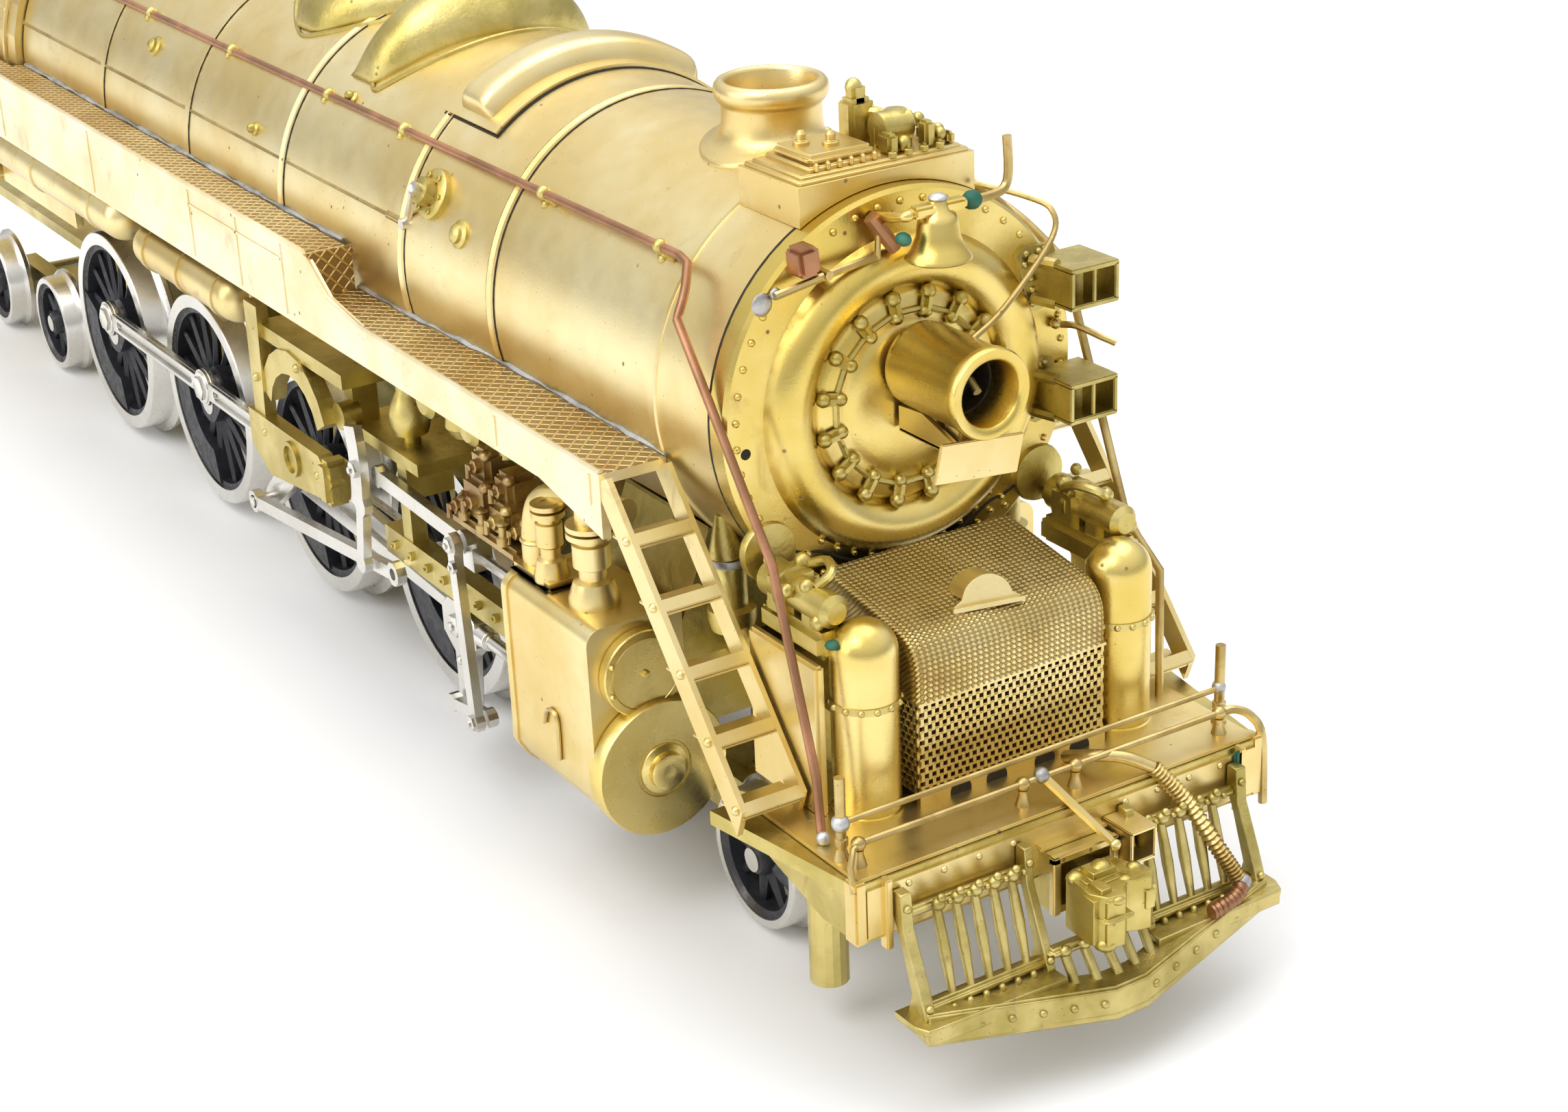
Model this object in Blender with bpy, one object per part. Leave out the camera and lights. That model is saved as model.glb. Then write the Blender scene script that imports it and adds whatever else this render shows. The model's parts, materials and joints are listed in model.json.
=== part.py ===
"""Model steam locomotive in HO scale (1:87.1), engine only, modelled piece by piece.

The engine stands on its wheel flanges at z = 0 and faces +X; +Y is its left side.
Everything below is drawn in millimetres with x measured from the smokebox front
(positive ahead of it); FRONT_X then places the smokebox front in the part's frame.
"""
import math

import bmesh
import bpy
from mathutils import Matrix, Vector
from mathutils.geometry import tessellate_polygon

MM = 0.001

# ---------------------------------------------------------------- driving dimensions (mm)
FRONT_X = 84.4              # smokebox front, ahead of the middle of the engine
GAP = 0.3                   # between pieces that are fixed face to face
RUN = 0.1                   # radial clearance of a shaft in its bearing

BOILER_Z = 38.3             # height of the boiler's centre line
SMOKEBOX_R = 13.4
BOILER_PROFILE = [(-1.9, 13.4), (-30.5, 13.6), (-43.5, 14.2), (-65.0, 14.4), (-127.5, 14.4)]
SHELL = 0.9                 # boiler wall

DRIVER_X = [-49.0, -74.0, -99.0, -124.0]
DRIVER_Z = 11.0             # axle height: the flanges reach the ground
FLANGE_R, TREAD_R = 11.0, 10.1
WHEEL_IN, WHEEL_OUT = 7.25, 10.5
AXLE_R = 1.5
MAIN, GEARED = 1, 2         # the driven-rod axle and the axle that carries the gear
CRANK_R = 4.0               # crank throw
CRANK_DEG = {-1: 38.0, 1: -52.0}    # crank angle at rest, right and left: quartered
PIN_R = 0.9
ECC_ARM = 5.8               # crank pin to eccentric pin, back across the wheel's centre
ECC_PIN_R = 0.5

TRUCK_R, TRUCK_TREAD_R = 5.5, 5.0
LEAD_X = [-4.7, -27.3]
TRAIL_X = [-147.0, -166.0]
TRUCK_AXLE_R = 0.9

CYL_Y, CYL_Z, CYL_R = 13.9, 11.9, 4.9
VALVE_Y, VALVE_Z, VALVE_R = 14.6, 19.0, 3.05
CYL_FRONT, CYL_BACK = -10.4, -22.5
CYL_INNER, CYL_OUTER, CYL_TOP = 11.2, 18.3, 22.6

WRIST_X = -38.1             # crosshead pin with the crank at rest, right side
LINK = (-49.7, 21.4)        # expansion link trunnion (x, z)
LINK_FOOT = (-50.6, 13.2)
LEVER_TOP = (-33.6, 20.6)
LEVER_FOOT = (-32.4, 6.6)

# lateral layers of the rods, each (inner, outer) distance from the centre line
SIDE_ROD = (11.2, 12.1)
MAIN_ROD = (12.4, 13.3)
CROSSHEAD = (13.6, 14.9)
RETURN_CRANK = (13.6, 14.4)
ECC_ROD = (15.2, 16.0)
LEVER = (16.3, 17.0)

BOARD_Z, BOARD_HIGH_Z = 34.7, 38.2
BOARD_IN, BOARD_OUT = 14.7, 18.1
VALANCE_Z = 31.9

DECK_Z = 15.7
DECK_BACK, DECK_FRONT = 3.6, 16.0

COLOURS = {                 # base colour, roughness, metallic
    "brass": ((0.78, 0.62, 0.28), 0.32, 1.0),
    "nickel": ((0.72, 0.69, 0.62), 0.28, 1.0),
    "black": ((0.03, 0.03, 0.035), 0.55, 0.2),
    "steel": ((0.55, 0.55, 0.56), 0.35, 1.0),
}


# ---------------------------------------------------------------- modelling helpers
def clear_scene():
    for obj in list(bpy.data.objects):
        bpy.data.objects.remove(obj, do_unlink=True)


def material(name):
    found = bpy.data.materials.get(name)
    if found:
        return found
    colour, roughness, metallic = COLOURS[name]
    made = bpy.data.materials.new(name)
    made.use_nodes = True
    shader = made.node_tree.nodes["Principled BSDF"]
    shader.inputs["Base Color"].default_value = (*colour, 1.0)
    shader.inputs["Roughness"].default_value = roughness
    shader.inputs["Metallic"].default_value = metallic
    return made


def make(name, bm, slot, pivot=(0.0, 0.0, 0.0)):
    """Turn a bmesh drawn in millimetres into a named object with its origin at pivot."""
    bmesh.ops.recalc_face_normals(bm, faces=bm.faces)
    bmesh.ops.translate(bm, verts=bm.verts, vec=-Vector(pivot))
    bmesh.ops.scale(bm, verts=bm.verts, vec=(MM, MM, MM))
    mesh = bpy.data.meshes.new(name)
    bm.to_mesh(mesh)
    bm.free()
    mesh.shade_smooth()
    mesh.set_sharp_from_angle(angle=math.radians(35))
    obj = bpy.data.objects.new(name, mesh)
    obj.location = (Vector(pivot) + Vector((FRONT_X, 0.0, 0.0))) * MM
    obj.data.materials.append(material(slot))
    bpy.context.scene.collection.objects.link(obj)
    return obj


def side_name(base, side):
    return f"{base}_{'left' if side > 0 else 'right'}"


def place(axis, a, b, depth):
    """Point with in-plane coordinates a, b and its depth along the axis."""
    if axis == "X":
        return (depth, a, b)
    if axis == "Y":
        return (a, depth, b)
    return (a, b, depth)


def plate(axis, outline, lo, hi, holes=()):
    """Flat plate: an outline with holes, extruded along the axis from lo to hi."""
    bm = bmesh.new()
    loops = [list(outline), *[list(hole) for hole in holes]]
    flat = [point for loop in loops for point in loop]
    lower = [bm.verts.new(place(axis, a, b, lo)) for a, b in flat]
    upper = [bm.verts.new(place(axis, a, b, hi)) for a, b in flat]
    vectors = [[Vector((a, b, 0.0)) for a, b in loop] for loop in loops]
    for tri in tessellate_polygon(vectors):
        bm.faces.new([lower[i] for i in tri])
        bm.faces.new([upper[i] for i in reversed(tri)])
    start = 0
    for loop in loops:
        count = len(loop)
        for i in range(count):
            j = (i + 1) % count
            bm.faces.new([lower[start + i], lower[start + j],
                          upper[start + j], upper[start + i]])
        start += count
    return bm


def box(x0, x1, y0, y1, z0, z1):
    return plate("Z", [(x0, y0), (x1, y0), (x1, y1), (x0, y1)], z0, z1)


def circle(a, b, radius, count=16, start=0.0):
    return [(a + radius * math.cos(start + i * math.tau / count),
             b + radius * math.sin(start + i * math.tau / count)) for i in range(count)]


def arc(a, b, radius, deg0, deg1, count):
    steps = [math.radians(deg0 + (deg1 - deg0) * i / count) for i in range(count + 1)]
    return [(a + radius * math.cos(t), b + radius * math.sin(t)) for t in steps]


def bar_outline(points, radii, half_width, count=8):
    """Outline of a rod: a straight bar between round eyes at its pins."""
    (ax, az), (bx, bz) = points
    angle = math.atan2(bz - az, bx - ax)
    outline = []
    for (cx, cz), radius, facing in ((points[0], radii[0], angle + math.pi),
                                     (points[1], radii[1], angle)):
        reach = math.pi - math.asin(min(0.95, half_width / radius))
        for i in range(count + 1):
            turn = facing - reach + 2 * reach * i / count
            outline.append((cx + radius * math.cos(turn), cz + radius * math.sin(turn)))
    return outline


def turned(axis, profile, centre=(0.0, 0.0), count=32, closed=False):
    """Lathe a profile of (distance along the axis, radius) about the axis."""
    bm = bmesh.new()
    rings = []
    for along, radius in profile:
        if radius == 0.0:
            rings.append([bm.verts.new(place(axis, *centre, along))])
        else:
            rings.append([bm.verts.new(place(axis, a, b, along))
                          for a, b in circle(*centre, radius, count)])
    pairs = list(zip(rings, rings[1:]))
    if closed:
        pairs.append((rings[-1], rings[0]))
    for one, two in pairs:
        for i in range(count):
            j = (i + 1) % count
            corners = [one[i % len(one)], one[j % len(one)],
                       two[j % len(two)], two[i % len(two)]]
            bm.faces.new(list(dict.fromkeys(corners)))
    return bm


def tube(points, radius, sides=8):
    """Round bar that follows a chain of points."""
    bm = bmesh.new()
    points = [Vector(point) for point in points]
    previous = None
    rings = []
    for i, point in enumerate(points):
        ahead = (points[min(i + 1, len(points) - 1)] - points[max(i - 1, 0)]).normalized()
        if previous is None:
            side = ahead.orthogonal().normalized()
        else:
            side = (previous - ahead * previous.dot(ahead)).normalized()
        previous = side
        up = ahead.cross(side)
        rings.append([bm.verts.new(point + radius * (side * math.cos(i * math.tau / sides)
                                                     + up * math.sin(i * math.tau / sides)))
                      for i in range(sides)])
    for one, two in zip(rings, rings[1:]):
        for i in range(sides):
            j = (i + 1) % sides
            bm.faces.new([one[i], one[j], two[j], two[i]])
    bm.faces.new(rings[0][::-1])
    bm.faces.new(rings[-1])
    return bm


def combine(first, others, operation="UNION"):
    """Boolean of closed shapes, drawn in millimetres."""
    scratch = []
    for bm in (first, *others):
        bmesh.ops.recalc_face_normals(bm, faces=bm.faces)
        mesh = bpy.data.meshes.new("scratch")
        bm.to_mesh(mesh)
        bm.free()
        obj = bpy.data.objects.new("scratch", mesh)
        bpy.context.scene.collection.objects.link(obj)
        scratch.append(obj)
    base, *tools = scratch
    for tool in tools:
        modifier = base.modifiers.new("Combine", "BOOLEAN")
        modifier.operation = operation
        modifier.solver = "EXACT"
        modifier.object = tool
    evaluated = base.evaluated_get(bpy.context.evaluated_depsgraph_get())
    bm = bmesh.new()
    bm.from_mesh(evaluated.to_mesh())
    evaluated.to_mesh_clear()
    for obj in scratch:
        mesh = obj.data
        bpy.data.objects.remove(obj, do_unlink=True)
        bpy.data.meshes.remove(mesh)
    bmesh.ops.remove_doubles(bm, verts=bm.verts, dist=0.0005)
    return bm


def saddle(x_low, x_high, spread_deg, height, inner_r, rows=12, columns=6):
    """Casting that lies over the boiler: its height above the barrel follows a rule."""
    bm = bmesh.new()
    top, bottom = [], []
    for i in range(rows + 1):
        v = -1.0 + 2.0 * i / rows
        angle = math.radians(90.0 + spread_deg * v)
        top.append([])
        bottom.append([])
        for j in range(columns + 1):
            u = -1.0 + 2.0 * j / columns
            x = x_low(v) + (x_high(v) - x_low(v)) * (u + 1.0) / 2.0
            for grid, radius in ((top, inner_r + height(u, v)), (bottom, inner_r)):
                grid[-1].append(bm.verts.new((x, radius * math.cos(angle),
                                              BOILER_Z + radius * math.sin(angle))))
    for grid in (top, bottom):
        for i in range(rows):
            for j in range(columns):
                bm.faces.new([grid[i][j], grid[i + 1][j], grid[i + 1][j + 1], grid[i][j + 1]])
    for i in range(rows):
        for j in (0, columns):
            bm.faces.new([top[i][j], top[i + 1][j], bottom[i + 1][j], bottom[i][j]])
    for j in range(columns):
        for i in (0, rows):
            bm.faces.new([top[i][j], top[i][j + 1], bottom[i][j + 1], bottom[i][j]])
    return bm


# ---------------------------------------------------------------- boiler and its fittings
def boiler():
    outer = BOILER_PROFILE
    inner = [(x, radius - SHELL) for x, radius in reversed(outer)]
    make("boiler_shell", turned("X", outer + inner, (0.0, BOILER_Z), 36, closed=True), "brass")

    door = [(-1.6, 0.0), (-1.6, SMOKEBOX_R), (-0.2, SMOKEBOX_R), (0.0, SMOKEBOX_R - 0.2),
            (0.0, 10.8), (1.2, 9.6), (1.5, 8.8), (1.2, 8.0), (0.8, 7.0), (0.8, 5.4),
            (1.4, 3.6), (1.8, 0.0)]
    make("smokebox_front", turned("X", door, (0.0, BOILER_Z), 32), "brass")

    outer = [(11.6, 21.0), (11.6, 30.6), *arc(0.0, BOILER_Z, 15.2, -24, 204, 20),
             (-11.6, 30.6), (-11.6, 21.0)]
    inner = [(-10.8, 21.0), (-10.8, 31.2), *arc(0.0, BOILER_Z, 14.4, 204, -24, 20),
             (10.8, 31.2), (10.8, 21.0)]
    make("firebox", plate("X", outer + inner, -150.5, -127.8), "brass")


def smokebox_fittings():
    base = saddle(lambda v: -14.4 - 4.6 * math.sqrt(max(0.02, 1 - v * v)),
                  lambda v: -14.4 + 4.6 * math.sqrt(max(0.02, 1 - v * v)),
                  20.0, lambda u, v: 0.25 + 0.9 * max(0.0, 1 - 0.6 * (u * u + v * v)),
                  SMOKEBOX_R + GAP, 8, 6)
    pipe = turned("Z", [(50.6, 0.0), (50.6, 3.4), (54.4, 3.4), (54.6, 3.65), (55.2, 3.85),
                        (55.7, 3.75), (55.9, 3.4), (55.6, 3.0), (52.6, 2.95), (52.6, 0.0)],
                  (-14.4, 0.0), 18)
    trimmed = combine(pipe, [turned("X", [(-25, 0), (-25, SMOKEBOX_R + 0.55),
                                          (-2, SMOKEBOX_R + 0.55), (-2, 0)],
                                    (0.0, BOILER_Z), 48)], "DIFFERENCE")
    make("smokestack", combine(base, [trimmed]), "brass")

    low = SMOKEBOX_R + GAP
    half = 6.6
    edge = math.degrees(math.acos(half / low))
    body = plate("X", [(half, 53.0), (-half, 53.0), *arc(0.0, BOILER_Z, low, 180 - edge, edge, 8)],
                 -8.1, -1.2)
    lid = box(-7.2, -2.2, -5.2, 0.4, 52.8, 54.0)
    pump = box(-6.8, -2.6, 1.6, 5.4, 52.8, 55.0)
    make("feedwater_heater", combine(body, [lid, pump]), "brass")

    lamp = [(2.6, 0.0), (2.6, 2.6), (8.4, 2.7), (8.4, 2.85), (9.3, 2.85), (9.3, 2.2),
            (4.6, 2.1), (4.6, 0.0)]
    make("headlight", turned("X", lamp, (0.0, 40.85), 24), "brass")
    shelf = plate("Y", [(2.2, 35.6), (8.0, 36.9), (8.0, 37.6), (3.0, 37.6), (2.2, 37.2)],
                  -1.3, 1.3)
    board = plate("X", [(-3.1, 35.0), (3.1, 35.0), (3.1, 37.6), (-3.1, 37.6)], 7.6, 8.2)
    make("number_board", combine(shelf, [board]), "brass")

    mouth = [(48.0, 0.0), (48.0, 2.05), (48.6, 1.65), (49.8, 1.2), (50.8, 1.0), (51.2, 0.6),
             (51.2, 0.0)]
    bell = turned("Z", mouth, (3.4, 0.4), 20)
    yoke = plate("X", [(-1.6, 50.9), (2.4, 50.9), (2.4, 51.7), (-1.6, 51.7)], 3.0, 3.8)
    arm = plate("Y", [(0.3, 50.6), (3.6, 51.0), (3.6, 51.6), (0.3, 51.6)], -1.5, -0.7)
    make("bell", combine(bell, [yoke, arm]), "brass")


def domes():
    def bump(u, v, sharp):
        return max(0.0, 1.0 - abs(u) ** sharp) * max(0.0, 1.0 - abs(v) ** 2.2)

    make("sand_dome", saddle(lambda v: -59.5 + 1.0 * (1 - abs(v)),
                             lambda v: -56.5 + 5.8 * (1 - abs(v)) ** 0.6,
                             42.0, lambda u, v: 0.35 + 3.6 * bump(u, v, 2.4),
                             14.4 + 0.55, 12, 6), "brass")
    make("steam_dome", saddle(lambda v: -73.0 - 7.5 * (1 - abs(v)) ** 0.7,
                              lambda v: -70.5 + 9.0 * (1 - abs(v)) ** 0.6,
                              34.0, lambda u, v: 0.35 + 3.6 * bump(u, v, 2.4),
                              14.4 + 0.5, 12, 6), "brass")
    make("check_valve_cover", saddle(lambda v: -42.4, lambda v: -37.6, 48.0,
                                     lambda u, v: 0.4 + 1.1 * max(0.0, 1 - abs(u) ** 4)
                                     * max(0.0, 1 - abs(v) ** 12),
                                     14.2 + 0.3, 12, 4), "brass")


def cab():
    front, back, half, sill, eave = -151.2, -178.0, 17.3, 21.0, 45.2
    roof_outer = [(half, sill), (half, eave), *arc(0.0, 36.4, 19.2, 29, 151, 12),
                  (-half, eave), (-half, sill)]
    wall = 0.8
    roof_inner = [(-half + wall, sill), (-half + wall, eave), *arc(0.0, 36.4, 18.4, 151, 29, 12),
                  (half - wall, eave), (half - wall, sill)]
    shell = plate("X", roof_outer + roof_inner, back, front)
    bulkhead = plate("X", [(half - 0.4, sill + 0.5), (half - 0.4, eave - 0.3),
                           *arc(0.0, 36.4, 18.8, 29, 151, 12), (-half + 0.4, eave - 0.3),
                           (-half + 0.4, sill + 0.5)], front - 1.0, front - 0.05)
    floor = box(back + 1.0, front - 0.5, -half + 0.4, half - 0.4, sill + 0.4, sill + 1.4)
    solid = combine(shell, [bulkhead, floor])
    windows = [box(x - 3.2, x + 3.2, -20, 20, 37.5, 45.0) for x in (-169.5, -160.0)]
    make("cab", combine(solid, windows, "DIFFERENCE"), "brass")


# ---------------------------------------------------------------- boards, ladders, front end
def running_board(side):
    lo, hi = sorted((side * BOARD_IN, side * BOARD_OUT))
    low = plate("Z", [(-53.0, side * BOARD_OUT), (-7.7, side * BOARD_OUT), (-7.7, side * 13.2),
                      (-30.5, side * 13.4), (-43.5, side * 14.0), (-53.0, side * 14.1)],
                BOARD_Z - 0.7, BOARD_Z)
    high = plate("Z", [(-150.0, side * BOARD_OUT), (-52.5, side * BOARD_OUT),
                       (-52.5, side * 14.7), (-127.6, side * 14.7), (-127.6, side * 15.6),
                       (-150.0, side * 15.6)], BOARD_HIGH_Z - 0.7, BOARD_HIGH_Z)
    riser = box(-53.2, -52.4, lo + 0.01, hi - 0.01, BOARD_Z - 0.6, BOARD_HIGH_Z - 0.05)
    outer, inner = side * (BOARD_OUT + 0.02), side * (BOARD_OUT - 0.6)
    valance = plate("Y", [(-150.2, VALANCE_Z), (-16.0, VALANCE_Z), (-7.65, 30.3),
                          (-7.65, BOARD_Z + 0.05), (-43.5, BOARD_Z + 0.05),
                          (-49.0, 35.6), (-53.0, BOARD_HIGH_Z + 0.05),
                          (-150.2, BOARD_HIGH_Z + 0.05)],
                    *sorted((outer, inner)))
    make(side_name("running_board", side), combine(low, [high, riser, valance]), "brass")


def ladder(side):
    """Inclined ladder from the running board's end down to the pilot deck."""
    top, foot = Vector((-7.0, 0.0, 34.2)), Vector((7.9, 0.0, 17.3))
    length = (foot - top).length
    steps, width = 6, 4.4
    opening = (length - 0.8) / steps - 1.1
    holes = []
    for i in range(steps):
        start = 0.9 + i * (length - 0.8) / steps
        holes.append([(start, 0.7), (start + opening, 0.7),
                      (start + opening, width - 0.7), (start, width - 0.7)])
    bm = plate("Z", [(0.0, 0.0), (length, 0.0), (length, width), (0.0, width)], 0.0, 1.1, holes)
    tilt = math.atan2(top.z - foot.z, foot.x - top.x)
    y = 13.5 if side > 0 else -13.5 - width
    bmesh.ops.transform(bm, matrix=Matrix.Translation((top.x, y, top.z - 0.6))
                        @ Matrix.Rotation(tilt, 4, "Y"), verts=bm.verts)
    make(side_name("ladder", side), bm, "brass")


def front_end():
    plan = [(DECK_BACK, -17.9), (DECK_FRONT, -15.9), (DECK_FRONT, 15.9), (DECK_BACK, 17.9)]
    deck = plate("Z", plan, DECK_Z - 1.0, DECK_Z)
    beam = box(15.0, 16.8, -15.7, 15.7, 11.7, DECK_Z + 0.02)
    skirts = [plate("Y", [(DECK_BACK + 0.1, 15.0), (15.5, 15.0), (15.5, 11.8), (13.0, 11.8),
                          (DECK_BACK + 0.1, 14.3)], *sorted((side * 15.0, side * 15.85)))
              for side in (-1, 1)]
    stubs = [turned("Z", [(3.3, 0.0), (3.3, 1.3), (14.9, 1.3), (14.9, 0.0)],
                    (7.6, side * 12.0), 16) for side in (-1, 1)]
    pocket = box(16.0, 18.6, -2.4, 2.4, 9.9, 13.9)
    spine = box(1.0, 15.6, -3.0, 3.0, 11.9, 15.0)
    block = combine(deck, [beam, *skirts, *stubs, pocket, spine])
    mouth = box(16.4, 19.0, -1.9, 1.9, 10.4, 13.4)
    make("pilot_deck", combine(block, [mouth], "DIFFERENCE"), "brass")

    pivot = (17.3, 0.0, 11.9)
    shank = box(16.8, 20.0, -1.0, 1.0, 10.8, 13.0)
    head = plate("Z", [(19.1, -1.6), (19.6, -2.3), (22.2, -2.4), (23.2, -1.4), (23.2, 0.2),
                       (22.0, 0.4), (22.4, 2.4), (21.2, 2.6), (19.1, 1.6)], 9.4, 13.5)
    make("coupler", combine(shank, [head]), "brass", pivot)

    bars = []
    top, foot = Vector((17.6, 0.0, 13.4)), Vector((19.6, 0.0, 7.6))
    for side in (-1, 1):
        for i in range(5):
            y = side * (5.2 + 1.4 * i)
            bars.append(tube([(top.x, y, top.z), (foot.x, y, foot.z)], 0.38, 6))
        bars.append(box(17.12, 18.1, *sorted((side * 3.6, side * 13.4)), 12.9, 13.9))
        for inner, outer, height in ((12.7, 13.5, 14.3), (3.5, 4.1, 13.9)):
            bars.append(plate("Y", [(17.2, height), (18.25, height), (20.4, 6.8), (18.4, 6.8)],
                              *sorted((side * inner, side * outer))))
        bars.append(box(18.3, 21.4, *sorted((side * 3.6, side * 13.9)), 6.7, 7.6))
    bottom = plate("Z", [(18.6, -12.7), (20.2, -12.7), (23.2, -0.8), (23.2, 0.8), (20.2, 12.7),
                         (18.6, 12.7), (21.4, 0.0)], 4.7, 6.9)
    for v in bottom.verts:              # the ends of the V stand higher than its point
        v.co.z += 0.1 * abs(v.co.y) - 0.4
    centre = [tube([(20.1, y, 8.6), (21.7 - abs(y) * 0.15, y, 6.0)], 0.38, 6)
              for y in (-2.8, -1.4, 0.0, 1.4, 2.8)]
    rail = box(19.4, 20.6, -4.0, 4.0, 8.1, 8.9)
    make("pilot", combine(bottom, [*bars, rail, *centre]), "brass")


def front_tanks():
    for side in (-1, 1):
        shape = [(16.0, 0.0), (16.0, 2.15), (26.4, 2.15), (27.8, 1.7), (28.6, 0.9), (28.8, 0.0)]
        make(side_name("front_tank", side), turned("Z", shape, (9.4, side * 9.9), 20), "brass")
    profile = [(1.5, 16.0), (11.4, 16.0), (11.4, 26.2), (10.4, 27.2), (1.5, 28.6)]
    make("radiator_guard", plate("Y", profile, -7.3, 7.3), "brass")


# ---------------------------------------------------------------- chassis
def chassis():
    bearings = [circle(x, DRIVER_Z, AXLE_R + RUN, 12) for x in DRIVER_X]
    outline = [(-140.0, 9.0), (-138.0, 8.0), (-38.0, 8.0), (-36.0, 12.4), (0.6, 12.4),
               (0.6, 16.0), (-44.0, 20.0), (-92.0, 20.0), (-92.0, 16.8), (-108.0, 16.8),
               (-112.0, 12.95), (-140.0, 12.95)]
    bars = plate("Y", outline, -5.0, 5.0, bearings)
    slot = box(-105.5, -92.6, -3.0, 3.0, 2.0, 30.0)
    king_pin = turned("Z", [(6.3, 0.0), (6.3, 1.0), (8.3, 1.0), (8.3, 2.4), (13.0, 2.4),
                            (13.0, 0.0)], (-16.0, 0.0), 16)
    tail = box(-181.0, -138.0, -4.4, 4.4, 11.7, 12.9)
    truck_pin, bar_pin = [turned("Z", [(low, 0.0), (low, 0.8), (12.3, 0.8), (12.3, 0.0)],
                                 (x, 0.0), 12) for x, low in ((-136.0, 6.9), (-178.5, 9.7))]
    frame = combine(bars, [slot], "DIFFERENCE")
    make("main_frame", combine(frame, [king_pin, tail, truck_pin, bar_pin]), "brass")

    can = turned("X", [(-140.0, 0.0), (-140.0, 3.9), (-139.0, 4.4), (-115.0, 4.4),
                       (-114.0, 3.9), (-114.0, 0.0)], (0.0, 18.6), 20)
    make("motor", can, "steel")

    worm = [(-113.6, 0.0), (-113.6, 0.8), (-103.0, 0.8), (-103.0, 1.9), (-95.0, 1.9),
            (-95.0, 0.8), (-93.0, 0.8), (-93.0, 0.0)]
    make("worm_shaft", turned("X", worm, (0.0, 18.6), 16), "steel", (-103.0, 0.0, 18.6))

    low = SMOKEBOX_R + GAP
    edge = math.degrees(math.acos(8.2 / low))
    saddle_block = plate("X", [(10.8, 13.0), (10.8, 20.5), (8.2, 27.0),
                               *arc(0.0, BOILER_Z, low, -edge, -180 + edge, 8),
                               (-8.2, 27.0), (-10.8, 20.5), (-10.8, 13.0),
                               (-5.4, 13.0), (-5.4, 18.8), (5.4, 18.8), (5.4, 13.0)],
                         CYL_BACK, CYL_FRONT - 1.0)
    make("cylinder_saddle", saddle_block, "brass")

    for side in (-1, 1):
        tank = [(-146.0, 0.0), (-145.0, 1.6), (-144.0, 2.2), (-103.0, 2.2), (-102.0, 1.6),
                (-101.2, 0.0)]
        make(side_name("side_tank", side), turned("X", tank, (side * 14.6, 28.6), 16), "brass")

    shape = [*arc(-189.8, 0.0, 2.2, 90, 270, 8), *arc(-178.5, 0.0, 2.2, -90, 90, 8)]
    bar = plate("Z", shape, 10.3, 11.0, [circle(-178.5, 0.0, 0.9, 12)])
    boss = plate("Z", circle(-189.8, 0.0, 1.9, 16), 10.6, 11.3)
    pin_hole = plate("Z", circle(-189.8, 0.0, 0.9, 12), 9.0, 12.0)
    make("drawbar", combine(combine(bar, [boss]), [pin_hole], "DIFFERENCE"), "brass",
         (-178.5, 0.0, 10.8))


def cylinder(side):
    outline = [(CYL_INNER, 8.2), *arc(CYL_Y - 0.1, CYL_Z, CYL_R, -118, -25, 6),
               (CYL_OUTER, 12.2), (CYL_OUTER, CYL_TOP - 1.0), (CYL_OUTER - 1.0, CYL_TOP),
               (CYL_INNER, CYL_TOP)]
    block = plate("X", [(side * y, z) for y, z in outline], CYL_BACK, CYL_FRONT)
    head = turned("X", [(-11.0, 0.0), (-11.0, CYL_R - 0.1), (-9.2, CYL_R - 0.1),
                        (-9.0, CYL_R - 0.3), (-9.0, 1.6), (-8.4, 1.4), (-8.4, 0.0)],
                  (side * CYL_Y, CYL_Z), 20)
    cover = turned("X", [(-11.0, 0.0), (-11.0, VALVE_R), (-9.7, VALVE_R), (-9.5, 2.8),
                         (-9.5, 0.0)], (side * VALVE_Y, VALVE_Z), 16)
    gland = turned("X", [(-24.4, 0.0), (-24.4, 1.9), (-22.0, 2.6), (-22.0, 0.0)],
                   (side * 14.2, CYL_Z), 16)
    rod_bore = turned("X", [(-25.0, 0.0), (-25.0, 0.75), (-12.4, 0.75), (-12.4, 0.0)],
                      (side * 14.2, CYL_Z), 16)
    stem_bore = turned("X", [(-25.0, 0.0), (-25.0, 0.65), (-16.0, 0.65), (-16.0, 0.0)],
                       (side * VALVE_Y, VALVE_Z), 16)
    solid = combine(block, [head, cover, gland])
    make(side_name("cylinder", side), combine(solid, [rod_bore, stem_bore], "DIFFERENCE"),
         "brass")


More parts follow.
